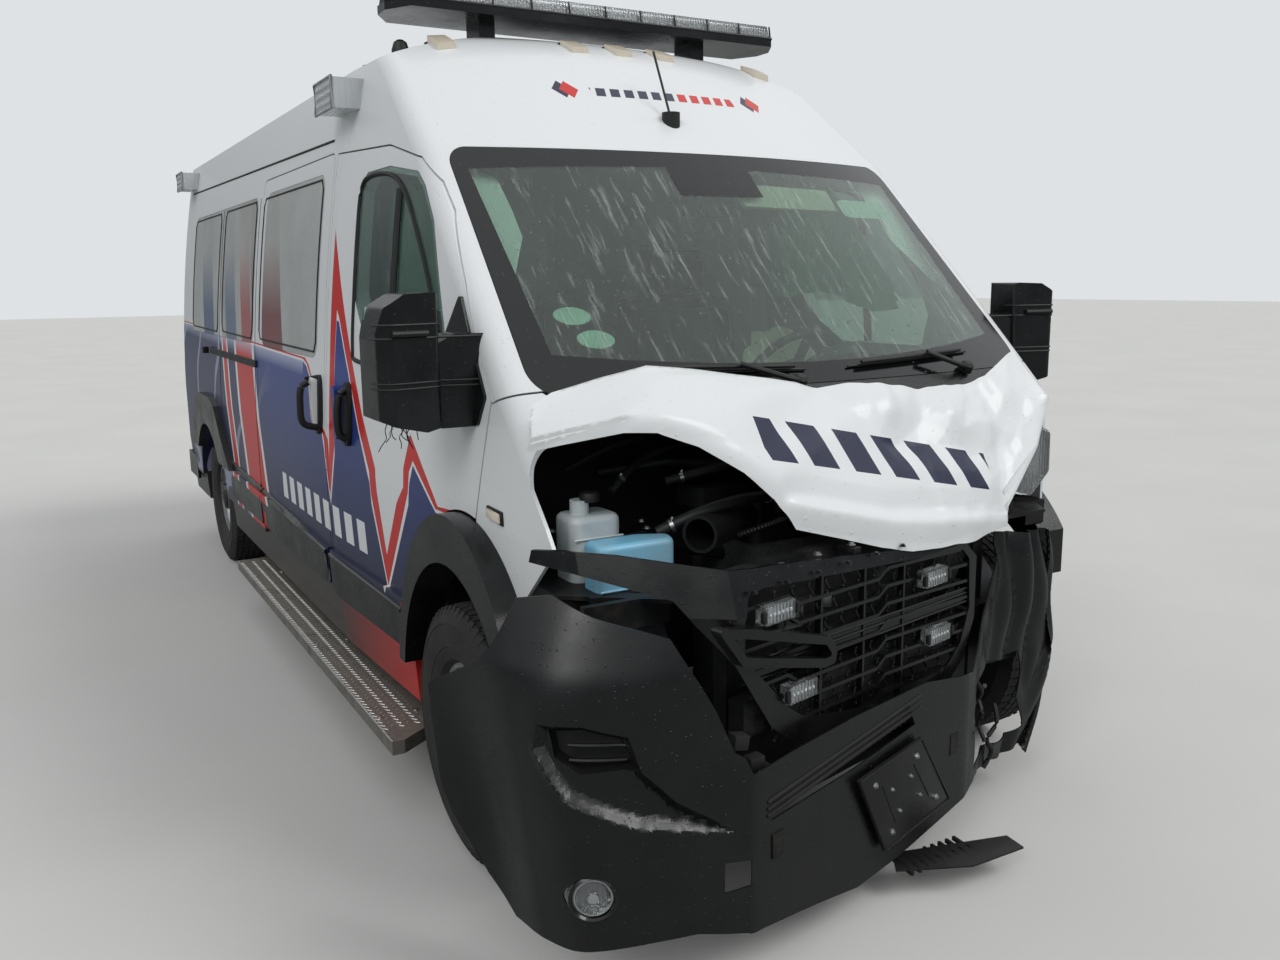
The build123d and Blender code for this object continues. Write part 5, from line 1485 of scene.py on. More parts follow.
# Hoses as a radius and (x, s, z) points, and looms as points, in millimetres
hose_routes = [
    (17, [(-640, 470, 1010), (-520, 430, 1060), (-380, 440, 1075), (-250, 500, 1060)]),
    (13, [(-560, 560, 1120), (-420, 520, 1150), (-220, 560, 1160), (-60, 600, 1140)]),
    (11, [(-700, 600, 1100), (-560, 640, 1180), (-300, 660, 1200), (40, 640, 1150), (260, 600, 1060)]),
    (19, [(-90, 470, 1000), (60, 440, 1010), (200, 450, 985), (330, 500, 930)]),
    (12, [(-150, 600, 1090), (0, 520, 1075), (150, 500, 1020), (240, 540, 940)]),
]
loom_routes = [
    [(-780, 700, 1150), (-600, 690, 1215), (-330, 700, 1235), (0, 690, 1215), (300, 650, 1130)],
    [(-430, 420, 985), (-330, 400, 1010), (-250, 405, 1020), (-180, 420, 1000), (-120, 430, 990)],
    [(-340, 640, 1150), (-280, 500, 1110), (-180, 440, 1060), (-60, 450, 1040)],
]


class AMBULANCE_OT_engine_bay(bpy.types.Operator):
    """Hoses, looms, tanks' fittings and covers seen through the open front"""

    bl_idname = "ambulance.engine_bay"
    bl_label = "Engine bay"

    def execute(self, context):
        """Lay the hoses, the looms and the duct, then the tanks' caps, the covers and the bolts."""
        self.hoses()
        self.intake()
        self.tank_fittings()
        self.covers()
        return {"FINISHED"}

    def hoses(self):
        """Rubber hoses with their clamps, and thin corrugated looms."""
        rubber = bmesh.new()
        clamps = bmesh.new()
        for size, route in hose_routes:
            radius = size / 1000
            run = curved([at(*p) for p in route], 8)
            tube(rubber, run, radius, 12)
            for i in (3, len(run) - 4):
                ahead = run[i + 1] - run[i]
                outer = radius + 0.0016
                band = [(radius, -0.005), (outer, -0.005), (outer, 0.005), (radius, 0.005)]
                turned(clamps, band, run[i], ahead, 20)
                bolt(clamps, run[i] + Vector((0, 0, radius)), Vector((0.3, 0, 1)), 0.004)
        piece("engine_hoses", rubber, "rubber_hose")
        piece("hose_clamps", clamps, "steel_plated")
        sleeves = bmesh.new()
        for route in loom_routes:
            tube(sleeves, curved([at(*p) for p in route], 24), 0.007, 8, 0.0022)
        piece("engine_looms", sleeves, "abs_dull")

    def intake(self):
        """Corrugated air duct ending in an open mouth."""
        duct = bmesh.new()
        route = curved(
            [at(*p) for p in ((-60, 560, 1095), (-160, 520, 1080), (-235, 455, 1050), (-250, 400, 1030))], 10
        )
        tube(duct, route, 0.043, 24, 0.005)
        piece("air_duct", duct, "rubber_hose", sharp=50)
        rim = bmesh.new()
        ahead = at(-252, 380, 1024) - at(-250, 400, 1030)
        turned(
            rim, [(0.036, -0.01), (0.05, -0.01), (0.052, 0.006), (0.046, 0.01), (0.036, 0.008)], route[-1],
            ahead, 32,
        )
        piece("air_duct_mouth", rim, "abs_black")

    def tank_fittings(self):
        """Caps of the coolant tank and the washer bottle, a clip, and both tanks' seams."""
        caps = bmesh.new()
        large = [(0.0, -0.002), (0.026, -0.002), (0.026, 0.014), (0.022, 0.02), (0.0, 0.021)]
        turned(caps, large, at(-790, 545, 1098), upward, 24)
        brick(caps, at(-826, 508, 1040), at(-760, 520, 1052), 0.003)
        small = [(0, -0.002), (0.019, -0.002), (0.019, 0.01), (0, 0.012)]
        turned(caps, small, at(-700, 430, 965), upward, 24)
        piece("tank_caps", caps, "abs_dull")
        seams = bmesh.new()
        for s, low, high, z in ((500, -858, -722, 1010), (385, -848, -622, 905)):
            tube(seams, [at(low, s - 2, z), at(high, s - 2, z)], 0.003, 6)
        piece("tank_seams", seams, "polyethylene")

    def covers(self):
        """Black engine cover with ribs, a blank label plate, bolts and brackets on the support."""
        cover = bmesh.new()
        brick(cover, at(-180, 560, 1085), at(260, 760, 1112), 0.012, Matrix.Rotation(-0.12, 3, "Y"))
        for k in range(6):
            brick(cover, at(-130 + 62 * k, 565, 1108 - 8 * k), at(-112 + 62 * k, 750, 1118 - 8 * k), 0.003)
        brick(cover, at(-480, 520, 1040), at(-330, 640, 1100), 0.01, Matrix.Rotation(0.1, 3, "Z"))
        piece("engine_covers", cover, "abs_dull")
        label = bmesh.new()
        brick(label, at(-56, 430, 1004), at(2, 434, 1034), 0.001, Matrix.Rotation(-0.35, 3, "X"))
        piece("blank_label", label, "steel_plated")
        bolts = bmesh.new()
        for u in range(80, 1200, 140):
            bolt(bolts, pushed(u, 110, 972), upward, 0.008)
        for x, s in ((-640, 520), (-610, 600), (-860, 620), (-900, 560), (-760, 640)):
            bolt(bolts, at(x, s, 1012), upward, 0.008)
        piece("support_bolts", bolts, "steel_plated")
        bracket = bmesh.new()
        for a, b, high in (((260, 150), (360, 150), 70), ((420, 150), (480, 150), 46)):
            loop = [
                pushed(a[0], a[1], 860), pushed(b[0], b[1], 850), pushed(b[0], b[1], 850 - high),
                pushed(a[0], a[1], 860 - high),
            ]
            prism(bracket, loop, pushed(0, 8, 0) - pushed(0, 0, 0), 0.002)
        piece("bay_brackets", bracket, "steel_plated")


# Glass, doors and sides
class AMBULANCE_OT_windshield(bpy.types.Operator):
    """Wipers, sensor box, sun visor and blank labels"""

    bl_idname = "ambulance.windshield"
    bl_label = "Windshield"

    def execute(self, context):
        """Seat each small piece on the windshield's own face."""
        glass = skin_of("windshield")
        self.wipers(glass)
        self.inside(glass)
        return {"FINISHED"}

    def wipers(self, glass):
        """Two parked wipers with arms and blades along the glass's foot."""
        shape = bmesh.new()
        for first, last in (((-620, 1404), (-90, 1388)), ((60, 1388), (600, 1404))):
            run = []
            for k in range(13):
                x = first[0] + (last[0] - first[0]) * k / 12
                z = first[1] + (last[1] - first[1]) * k / 12
                run.append(seated(glass, at(x, -400, z), rearward, 0.008))
            tube(shape, run, 0.0035, 6)
            frame_line = [p + Vector((0, -0.010, 0.010)) for p in run[1:-1]]
            tube(shape, frame_line, 0.0055, 8)
            pivot = at(last[0] - 60, run[-2].y * 1000 - nose_y * 1000 - 55, 1362)
            elbow = pivot + Vector((-0.05, -0.02, 0.012))
            tube(shape, curved([pivot, elbow, frame_line[6] + Vector((0, -0.012, 0.008))], 6), 0.008, 8)
            cap = [(0, -0.012), (0.021, -0.012), (0.020, 0.010), (0.012, 0.018), (0, 0.019)]
            turned(shape, cap, pivot, Vector((0, -0.5, 1)), 20)
        piece("wipers", shape, "abs_dull")

    def inside(self, glass):
        """Sensor box, sun visor and blank labels behind the glass."""
        box = bmesh.new()
        brick(box, at(-130, 1150, 1830), at(110, 1168, 1896), 0.01)
        tube(box, [at(-10, 1165, 1895), at(-10, 1160, 1925)], 0.008, 8)
        piece("sensor_box", box, "abs_black")
        visor = bmesh.new()
        loop = [
            seated(glass, at(x, -400, z), rearward, -0.03)
            for x, z in ((60, 1940), (469, 1930), (469, 1856), (60, 1862))
        ]
        prism(visor, loop, Vector((0, 0.018, -0.006)), 0.005)
        piece("sun_visor", visor, "visor_cream")
        labels = bmesh.new()
        for x, z, wide, high, sharpness in (
            (-690, 1543, 100, 46, 1.0), (-655, 1482, 100, 46, 1.0), (590, 1864, 260, 62, 0.3)
        ):
            corners = []
            for k in range(24):
                across, up = math.cos(math.pi * k / 12), math.sin(math.pi * k / 12)
                across = math.copysign(abs(across) ** sharpness, across) * wide / 2
                up = math.copysign(abs(up) ** sharpness, up) * high / 2
                corners.append(seated(glass, at(x + across, -400, z + up), rearward, -0.008))
            prism(labels, corners, Vector((0, 0.001, 0)))
        piece("blank_labels", labels, "label_mint")


def on_side(skin, side, s, z, lift=0.0):
    """Point on a side's skin at a place along and up, lifted off it."""
    return seated(skin, at(side * 1600, s, z), Vector((-side, 0, 0)), lift)


class AMBULANCE_OT_doors(bpy.types.Operator):
    """Handles, window rubbers, divider bars and guards of the front doors"""

    bl_idname = "ambulance.doors"
    bl_label = "Doors"

    def execute(self, context):
        """Dress both front doors alike, each piece riding on its door."""
        for side, word in both_sides:
            skin = skin_of("front_door_" + word, "door_glass_" + word)
            self.window_rubber(skin, side, word)
            self.handle(skin, side, word)
            guard = lower_guard(skin, side, 1448, 2216, 484)
            piece("door_guard_" + word, guard, "polypropylene", "front_door_" + word)
        return {"FINISHED"}

    def window_rubber(self, skin, side, word):
        """Rubber round the glass and the upright divider."""
        shape = bmesh.new()
        around = [
            (1125, 1400), (1160, 1500), (1240, 1640), (1400, 1830), (1520, 1930), (1640, 1975), (1820, 1985),
            (1905, 1950), (1915, 1800), (1912, 1600), (1908, 1420), (1860, 1378), (1500, 1374), (1250, 1376),
        ]
        route = [on_side(skin, side, s, z, 0.001) for s, z in around]
        run = curved(route + route[:1], 5)
        tube(shape, run, 0.008, 6)
        bar = [on_side(skin, side, 1530, z, 0.002) for z in range(1384, 1930, 30)]
        for shift in (-0.012, 0.0, 0.012):
            tube(shape, [p + Vector((0, shift, 0)) for p in bar], 0.008, 6)
        piece("door_rubber_" + word, shape, "rubber_trim", "front_door_" + word)

    def handle(self, skin, side, word):
        """Upright black pull handle of a front door."""
        shape = bmesh.new()
        upright_handle(shape, skin, side, 1950, 1189)
        piece("door_handle_" + word, shape, "abs_dull", "front_door_" + word)


def upright_handle(shape, skin, side, s, z):
    """Upright pull handle on its rounded dish, centred at (s, z)."""
    dish = []
    for k in range(28):
        angle = 2 * math.pi * k / 28
        across, up = math.cos(angle), math.sin(angle)
        wide = math.copysign(abs(across) ** 0.8, across) * 38
        dish.append(on_side(skin, side, s + wide, z + math.copysign(abs(up) ** 0.7, up) * 112, -0.002))
    prism(shape, dish, Vector((side * 0.017, 0, 0)), 0.001)
    grip = [
        on_side(skin, side, s - 4, z + up, lift)
        for up, lift in ((-86, 0.010), (-66, 0.036), (0, 0.043), (66, 0.036), (86, 0.010))
    ]
    tube(shape, curved(grip, 6), 0.013, 12)
    button = [(0, -0.002), (0.012, -0.002), (0.011, 0.010), (0, 0.011)]
    turned(shape, button, on_side(skin, side, s + 12, z - 100), Vector((side, 0, 0)), 18)


def guard_top(s):
    """Height of the lower guard's top edge at a station."""
    return 620 + (s - 1477) * 0.027


def lower_guard(skin, side, first, last, low):
    """Black guard strip with a bead along its top, seated on a side between two stations."""
    shape = bmesh.new()
    rings = []
    count = max(2, round((last - first) / 60))
    for k in range(count + 1):
        s = first + (last - first) * k / count
        top = guard_top(s)
        section = [
            (top, -4), (top, 4), (top - 4, 10), (top - 13, 11), (top - 21, 6), ((top + low) / 2, 5), (low, 5),
            (low, -4),
        ]
        rings.append([on_side(skin, side, s, z, lift / 1000) for z, lift in section])
    lofted(shape, rings)
    return shape


class AMBULANCE_OT_sides(bpy.types.Operator):
    """Side marker, window seals, sliding rail, panel seams and guards on the sides"""

    bl_idname = "ambulance.sides"
    bl_label = "Sides"

    def execute(self, context):
        """Seat each strip and lamp on the body's own sides."""
        left = skin_of("side_left", "side_windows", "fender_left")
        right = skin_of("side_right", "sliding_door", "side_windows", "fender_right")
        self.marker(right)
        self.window_seals(left, right)
        self.rail(right)
        self.seams(left, right)
        for name, skin, side, first, last in (
            ("sliding_door", right, -1, 2274, 3500), ("right_side", right, -1, 3526, 4330),
            ("left_side", left, 1, 2242, 4330),
        ):
            guard = lower_guard(skin, side, first, last, 502)
            piece("guard_" + name, guard, "polypropylene")
        return {"FINISHED"}

    def marker(self, skin):
        """Amber side marker with its black base on the right fender."""
        outward = Vector((-0.008, 0, 0))
        base = bmesh.new()
        corners = ((694, 1022), (786, 1030), (792, 1062), (700, 1058))
        prism(base, [on_side(skin, -1, s, z, -0.002) for s, z in corners], outward, 0.002)
        piece("side_marker_base", base, "abs_dull")
        glass = bmesh.new()
        corners = ((702, 1028), (780, 1034), (784, 1057), (706, 1053))
        prism(glass, [on_side(skin, -1, s, z, 0.005) for s, z in corners], outward, 0.003)
        piece("side_marker_lens", glass, "lamp_amber")

    def window_seals(self, left, right):
        """Thin black edging round every filmed window."""
        shape = bmesh.new()
        panes = [(2390, 3470), (3640, 4480), (4620, 5540)]
        for side, skin, filmed in ((-1, right, panes), (1, left, panes[:1])):
            for first, last in filmed:
                loop = [
                    (first, 1420), (first + 25, 1382), (last - 30, 1390), (last, 1425), (last, 1990),
                    (last - 30, 2020), (first + 30, 2020), (first, 1985),
                ]
                route = [on_side(skin, side, s, z, 0.001) for s, z in stepped(loop, 140)]
                tube(shape, route + route[:1], 0.004, 6)
        piece("side_window_seals", shape, "rubber_trim")

    def rail(self, skin):
        """Sliding door's outer rail with its end stop."""
        shape = bmesh.new()
        for shift in (-11, 0, 11):
            tube(shape, [on_side(skin, -1, s, 1268 + shift, 0.003) for s in range(3530, 4900, 60)], 0.0065, 6)
        brick(shape, at(-1052, 4890, 1250), at(-1020, 4935, 1288), 0.004)
        piece("sliding_rail", shape, "steel_black")
        handle = bmesh.new()
        upright_handle(handle, skin, -1, 2318, 1190)
        piece("sliding_handle", handle, "abs_dull")

    def seams(self, left, right):
        """Pressed panel seams as near-black beads, their black painted shade of the grooves, and drip gutters
        as dark lines.
        """
        shape = bmesh.new()
        for side, skin in ((-1, right), (1, left)):
            # Painted shade: near-black beads along the side's pressed grooves
            for s in (3570, 4560):
                tube(shape, [on_side(skin, side, s, z, -0.0015) for z in range(560, 2100, 70)], 0.0032, 5)
            gutter = [on_side(skin, side, s, 2150 + (s - 2300) * 0.016, 0.0) for s in range(2300, 5900, 100)]
            tube(shape, gutter, 0.005, 6)
        piece("side_seam_shade_and_gutters", shape, "rubber_trim")


# Wheels and mirrors
wheel_places = [
    # body              x      s     outward
    ("wheel_front_left", 905.0, 948, 1),
    ("wheel_front_right", -905.0, 948, -1),
    ("wheel_rear_left", 895.0, 4983, 1),
    ("wheel_rear_right", -895.0, 4983, -1),
]
# Height of the axles in millimetres, and the radii of the tread, the rim's edge and the nuts in metres
axle_z = 372
tread_radius = 0.3715
rim_edge = 0.2045
nut_circle = 0.077


class AMBULANCE_OT_wheels(bpy.types.Operator):
    """Treaded tyres, wheel nuts, caps, valves and balance weights"""

    bl_idname = "ambulance.wheels"
    bl_label = "Wheels"

    def execute(self, context):
        """Dress each of the four wheels, the pieces riding with it."""
        depth = context.scene.ambulance_looks.tread_depth
        for body, x, s, outward in wheel_places:
            hub = at(x, s, axle_z)
            axle = Vector((outward, 0, 0))
            self.carcass(body, hub, axle, depth)
            self.tread(body, hub, axle, depth)
            self.nuts(body, hub, axle)
        return {"FINISHED"}

    def carcass(self, body, hub, axle, depth):
        """Tyre's bead, sidewalls with raised rings, shoulders and groove floor."""
        floor = tread_radius - depth
        half = [
            (rim_edge, 0.080), (0.211, 0.090), (0.216, 0.097), (0.222, 0.0985), (0.225, 0.1005),
            (0.252, 0.1055), (0.2535, 0.1075), (0.258, 0.1078), (0.2595, 0.1062), (0.29, 0.1105),
            (0.318, 0.1095), (0.3195, 0.1112), (0.325, 0.1108), (0.3265, 0.1085), (0.342, 0.1030),
            (floor - 0.006, 0.0955), (floor, 0.086),
        ]
        middle = [(floor, -0.04), (floor, 0.0), (floor, 0.04)]
        ring = [(r, -w) for r, w in half] + middle + [(r, w) for r, w in reversed(half)]
        shape = bmesh.new()
        turned(shape, ring, hub, axle, 96)
        tyre = piece("tyre_body_" + body[6:], shape, "rubber", body, 28)
        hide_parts("tyre_" + body[6:])

    def tread(self, body, hub, axle, depth):
        """Ring of tread blocks: a solid middle rib, two cut ribs and shoulder lugs, once per pitch."""
        count = 66
        pitch = 2 * math.pi * tread_radius / count
        floor = tread_radius - depth - 0.001
        shape = bmesh.new()
        plans = [
            # near and far edge across, lengthwise shift, length as a share of the pitch, slant
            (-0.013, 0.013, 0.0, 0.94, 0.004),
            (-0.048, -0.021, 0.35, 0.80, -0.006),
            (0.021, 0.048, 0.15, 0.80, -0.006),
            (-0.0905, -0.056, 0.6, 0.72, 0.005),
            (0.056, 0.0905, 0.9, 0.72, 0.005),
        ]
        for near, far, shift, share, slant in plans:
            first = (shift - share / 2) * pitch
            last = (shift + share / 2) * pitch
            loop = [(near, first), (far, first + slant), (far, last + slant), (near, last)]
            loop = [(a, math.atan2(v, tread_radius)) for a, v in loop]
            low = [round_axle(hub, axle, a, t, floor) for a, t in loop]
            high = [
                round_axle(hub, axle, a, t, tread_radius - 0.8 * max(abs(a) - 0.082, 0)) for a, t in loop
            ]
            frustum(shape, low, high)
        turns = [share * pitch / tread_radius for share in (0.1, 0.55)]
        for sign in (-1, 1):
            outer = [
                round_axle(hub, axle, sign * w, t, r)
                for t in turns for r, w in ((0.346, 0.1020), (0.3695, 0.0900))
            ]
            inner = [p - axle * sign * 0.006 for p in outer]
            order = (0, 1, 3, 2)
            frustum(shape, [inner[i] for i in order], [outer[i] for i in order])
        repeated(
            "tyre_tread_" + body[6:], shape, "rubber", count, turn=(2 * math.pi / count, 0, 0),
            centre=hub, body=body, sharp=25,
        )

    def nuts(self, body, hub, axle):
        """Five wheel nuts, the hub cap, the valve and two balance weights."""
        nut = bmesh.new()
        profile = [
            (0, -0.004), (0.0145, -0.004), (0.0145, 0.002), (0.0112, 0.004), (0.0108, 0.019), (0.008, 0.023),
            (0, 0.0235),
        ]
        turned(nut, profile, hub + axle * 0.050 + Vector((0, 0, nut_circle)), axle, 18)
        repeated(
            "wheel_nuts_" + body[6:], nut, "steel_plated", 5, turn=(2 * math.pi / 5, 0, 0),
            centre=hub, body=body,
        )
        cap = bmesh.new()
        profile = [
            (0, 0.079), (0.058, 0.079), (0.058, 0.085), (0.052, 0.090), (0.03, 0.094), (0.028, 0.092),
            (0, 0.092),
        ]
        turned(cap, profile, hub, axle, 40)
        piece("hub_cap_" + body[6:], cap, "abs_dull", body)
        valve = bmesh.new()
        root = hub + axle * 0.044 + Vector((0, 0.16, 0.06))
        tube(valve, [root, root + axle * 0.022 + Vector((0, 0.004, 0.001))], 0.0045, 10)
        for t in (1.1, 3.6):
            place = round_axle(hub, axle, 0.0795, t, 0.194)
            half = Vector((0.003, 0.014, 0.006))
            brick(valve, place - half, place + half, 0.001)
        piece("wheel_valve_" + body[6:], valve, "rubber_trim", body)


def round_axle(hub, axle, along, turn, radius):
    """Point some way along an axle, at a turn and a radius round it."""
    return hub + axle * along + Vector((0, math.sin(turn), math.cos(turn))) * radius


def frustum(shape, low, high):
    """Closed block from a lower to an upper loop."""
    base = [shape.verts.new(p) for p in low]
    top = [shape.verts.new(p) for p in high]
    count = len(low)
    faces = [shape.faces.new(base), shape.faces.new(top[::-1])]
    for k in range(count):
        faces.append(shape.faces.new((base[k], top[k], top[(k + 1) % count], base[(k + 1) % count])))
    bmesh.ops.recalc_face_normals(shape, faces=faces)


class AMBULANCE_OT_mirrors(bpy.types.Operator):
    """Silvered glass, bands and frayed wires of both door mirrors"""

    bl_idname = "ambulance.mirrors"
    bl_label = "Mirrors"

    def execute(self, context):
        """Dress both mirror heads alike, except for the right one's torn wires."""
        for side, word in both_sides:
            body = "front_door_" + word
            panes = bmesh.new()
            for z0, z1 in ((1388, 1577), (1298, 1365)):
                corners = ((1211, z0), (1071, z0), (1071, z1), (1211, z1))
                loop = [at(side * x, 974, z) for x, z in corners]
                prism(panes, loop, Vector((0, -0.003, 0)), 0.001)
            piece("mirror_glass_" + word, panes, "mirror_silver", body)
            skin = skin_of("mirror_" + word)
            bands = bmesh.new()
            for z, radius in ((1534, 0.0035), (1500, 0.0035), (1388, 0.0028), (1374, 0.0028)):
                centre = at(side * 1130, 905, z)
                route = []
                for k in range(25):
                    angle = math.pi * (1.02 + 0.96 * k / 24)
                    away = Vector((math.cos(angle), math.sin(angle), 0))
                    route.append(seated(skin, centre + away * 0.4, -away, 0.0005))
                tube(bands, route, radius, 6)
            shell = [at(side * x, s, 1512) for x, s in ((1090, 846), (1160, 828), (1190, 820))]
            route = [seated(skin, p + Vector((0, -0.3, 0)), rearward, 0.004) for p in shell]
            tube(bands, route, 0.009, 8)
            piece("mirror_bands_" + word, bands, "abs_dull", body)
        self.wires()
        return {"FINISHED"}

    def wires(self):
        """Thin cut wires hanging at the right mirror's foot."""
        random.seed(3)
        sway = ((-0.012, 0.012), (-0.012, 0.008), (-0.022, -0.008))
        shape = bmesh.new()
        for k in range(9):
            start = at(-1195 + 9 * k, 880 + 8 * (k % 3), 1284)
            route = [start]
            for _ in range(4):
                step = [random.uniform(low, high) for low, high in sway]
                route.append(route[-1] + Vector(step))
            tube(shape, curved(route, 3), 0.0013, 5)
        piece("mirror_wires", shape, "rubber_hose", "front_door_right")


# Roof, steps, rear and cab: the light bar's middle and tray height in millimetres
bar_s = 2016
bar_top = 2573


def on_roof(skin, x, s, lift):
    """Point on the roof's skin above a place, lifted off it."""
    return seated(skin, at(x, s, 3000), Vector((0, 0, -1)), lift)


class AMBULANCE_OT_roof(bpy.types.Operator):
    """Light bar modules and frames, flood lamps' bezels, roof seams, ribs and camera"""

    bl_idname = "ambulance.roof"
    bl_label = "Roof"

    def execute(self, context):
        """Fill the light bar, then frame the lamps and press the roof's marks."""
        self.light_bar()
        self.scene_lamps()
        self.marks()
        return {"FINISHED"}

    def light_bar(self):
        """Chrome modules with emitters under the lens, frames between them and end caps."""
        tray = bmesh.new()
        emitters = bmesh.new()
        frames = bmesh.new()
        emitter = [(0, -0.002), (0.007, -0.002), (0.006, 0.003), (0, 0.006)]
        for side, s in ((-1, bar_s - 122), (1, bar_s + 122)):
            for k in range(10):
                x = -666 + 148 * k
                loop = [
                    at(x - 66, s, bar_top + 8), at(x + 66, s, bar_top + 8), at(x + 62, s, bar_top + 40),
                    at(x - 62, s, bar_top + 40),
                ]
                prism(tray, loop, Vector((0, -side * 0.012, 0)), 0.002)
                for j in range(6):
                    place = at(x - 50 + 20 * j, s, bar_top + 24)
                    turned(emitters, emitter, place, Vector((0, side, 0)), 10)
        for k in range(11):
            x = -740 + 148 * k
            brick(frames, at(x - 5, bar_s - 138, bar_top + 1), at(x + 5, bar_s + 138, bar_top + 4), 0.001)
            for sign in (-1, 1):
                foot = at(x, bar_s + sign * 133, bar_top + 2)
                tube(frames, [foot, at(x, bar_s + sign * 124, bar_top + 49)], 0.0035, 6)
        for sign in (-1, 1):
            rim = [(sign * 798, -42), (sign * 742, -139), (0, -139), (-sign * 742, -139)]
            tube(frames, [at(x, bar_s + v, bar_top + 2) for x, v in rim], 0.004, 6)
            cap = [(sign * 797, -30), (sign * 797, 30), (sign * 757, 96), (sign * 757, -96)]
            loop = [at(x, bar_s + v, bar_top + 2) for x, v in cap]
            prism(frames, loop, Vector((-sign * 0.008, 0, 0.046)), 0.003)
        deck = [
            (-786, -34), (-730, -112), (730, -112), (786, -34), (786, 34), (730, 112), (-730, 112), (-786, 34)
        ]
        prism(tray, [at(x, bar_s + v, bar_top + 30) for x, v in deck], Vector((0, 0, 0.006)), 0.001)
        piece("light_bar_trays", tray, "chrome")
        piece("light_bar_emitters", emitters, "lens_scene")
        piece("light_bar_frames", frames, "abs_dull")

    def scene_lamps(self):
        """White bezel and rows of emitters on each flood lamp's face."""
        bezels = bmesh.new()
        emitters = bmesh.new()
        emitter = [(0, -0.001), (0.0095, -0.001), (0.009, 0.002), (0.004, 0.0045), (0, 0.005)]
        for side in (-1, 1):
            for s in (2130, 5750):
                loop = [
                    at(side * 985, s + a * 112, 2275 + b * 51)
                    for a, b in corner_signs
                ]
                tube(bezels, loop + loop[:1], 0.006, 8)
                for k in range(8):
                    for row in (-1, 0, 1):
                        place = at(side * 985, s - 84 + 24 * k, 2275 + 27 * row)
                        turned(emitters, emitter, place, Vector((side, 0, 0)), 12)
        piece("flood_lamp_bezels", bezels, "steel_plated")
        piece("flood_lamp_emitters", emitters, "lens_scene")

    def marks(self):
        """Panel seams as near-black lines of painted shade, long ribs, the camera and the marker lamps'
        gaskets.
        """
        roof = skin_of("roof", "side_left", "side_right")
        seams = bmesh.new()
        # Painted shade: near-black lines along the roof's pressed grooves, across it and along its brow
        for s in (3000, 4000, 5000):
            line = [on_roof(roof, x, s, -0.001) for x in range(-820, 821, 82)]
            tube(seams, line, 0.004, 6)
        brow = [on_roof(roof, x, 2100 - abs(x) * 0.05, -0.001) for x in range(-860, 861, 43)]
        tube(seams, brow, 0.004, 6)
        piece("roof_seam_shade", seams, "rubber_trim")
        ribs = bmesh.new()
        for x in (-560, -280, 0, 280, 560):
            for first, last in ((2320, 2960), (3040, 3960), (4040, 4960), (5040, 5700)):
                line = [on_roof(roof, x, s, -0.004) for s in range(first, last, 60)]
                tube(ribs, line, 0.011, 8)
        piece("roof_ribs", ribs, "enamel")
        camera = bmesh.new()
        dome = [(0, -0.004), (0.03, -0.004), (0.03, 0.012), (0.022, 0.036), (0.01, 0.044), (0, 0.045)]
        turned(camera, dome, on_roof(roof, -750, 1980, 0.0), upward, 24)
        for x, s in ((-647, 1860), (-176, 1800), (0, 1796), (176, 1800), (647, 1860)):
            centre = on_roof(roof, x, s + 60, -0.002)
            low, high = centre - Vector((0.036, 0.012, 0.006)), centre + Vector((0.036, 0.012, 0.004))
            brick(camera, low, high, 0.003)
        piece("roof_camera", camera, "abs_dull")


class AMBULANCE_OT_steps(bpy.types.Operator):
    """Raised diamond lozenges on both side steps, with edge trims and bolts"""

    bl_idname = "ambulance.steps"
    bl_label = "Steps"

    def execute(self, context):
        """Repeat one row of lozenges down each step, then add the end trims."""
        top = 245
        for side, word in both_sides:
            row = bmesh.new()
            for k in range(6):
                lean = 0.6 if k % 2 else -0.6
                self.lozenge(row, at(side * (1098 - 26 * k), 1400 + (15 if k % 2 else 0), top), lean)
            repeated("step_lozenges_" + word, row, "tread_worn", 82, (0, 0.030, 0))
            trims = bmesh.new()
            tube(trims, [at(side * 1107, 1292, top - 3), at(side * 1107, 3898, top - 3)], 0.004, 8)
            for s in (1500, 2350, 3550):
                for x in (965, 1085):
                    bolt(trims, at(side * x, s, top), upward, 0.007)
            piece("step_trims_" + word, trims, "steel_plated")
        return {"FINISHED"}

    def lozenge(self, shape, centre, lean):
        """One raised lozenge 26 mm long and 1.6 mm high."""
        ahead = Vector((math.sin(lean), math.cos(lean), 0))
        side = Vector((ahead.y, -ahead.x, 0))
        low = [
            centre + ahead * a + side * b - Vector((0, 0, 0.0008))
            for a, b in ((-0.013, 0), (0, -0.0038), (0.013, 0), (0, 0.0038))
        ]
        high = [
            centre + ahead * a + side * b + Vector((0, 0, 0.0016))
            for a, b in ((-0.009, 0), (0, -0.0018), (0.009, 0), (0, 0.0018))
        ]
        frustum(shape, low, high)


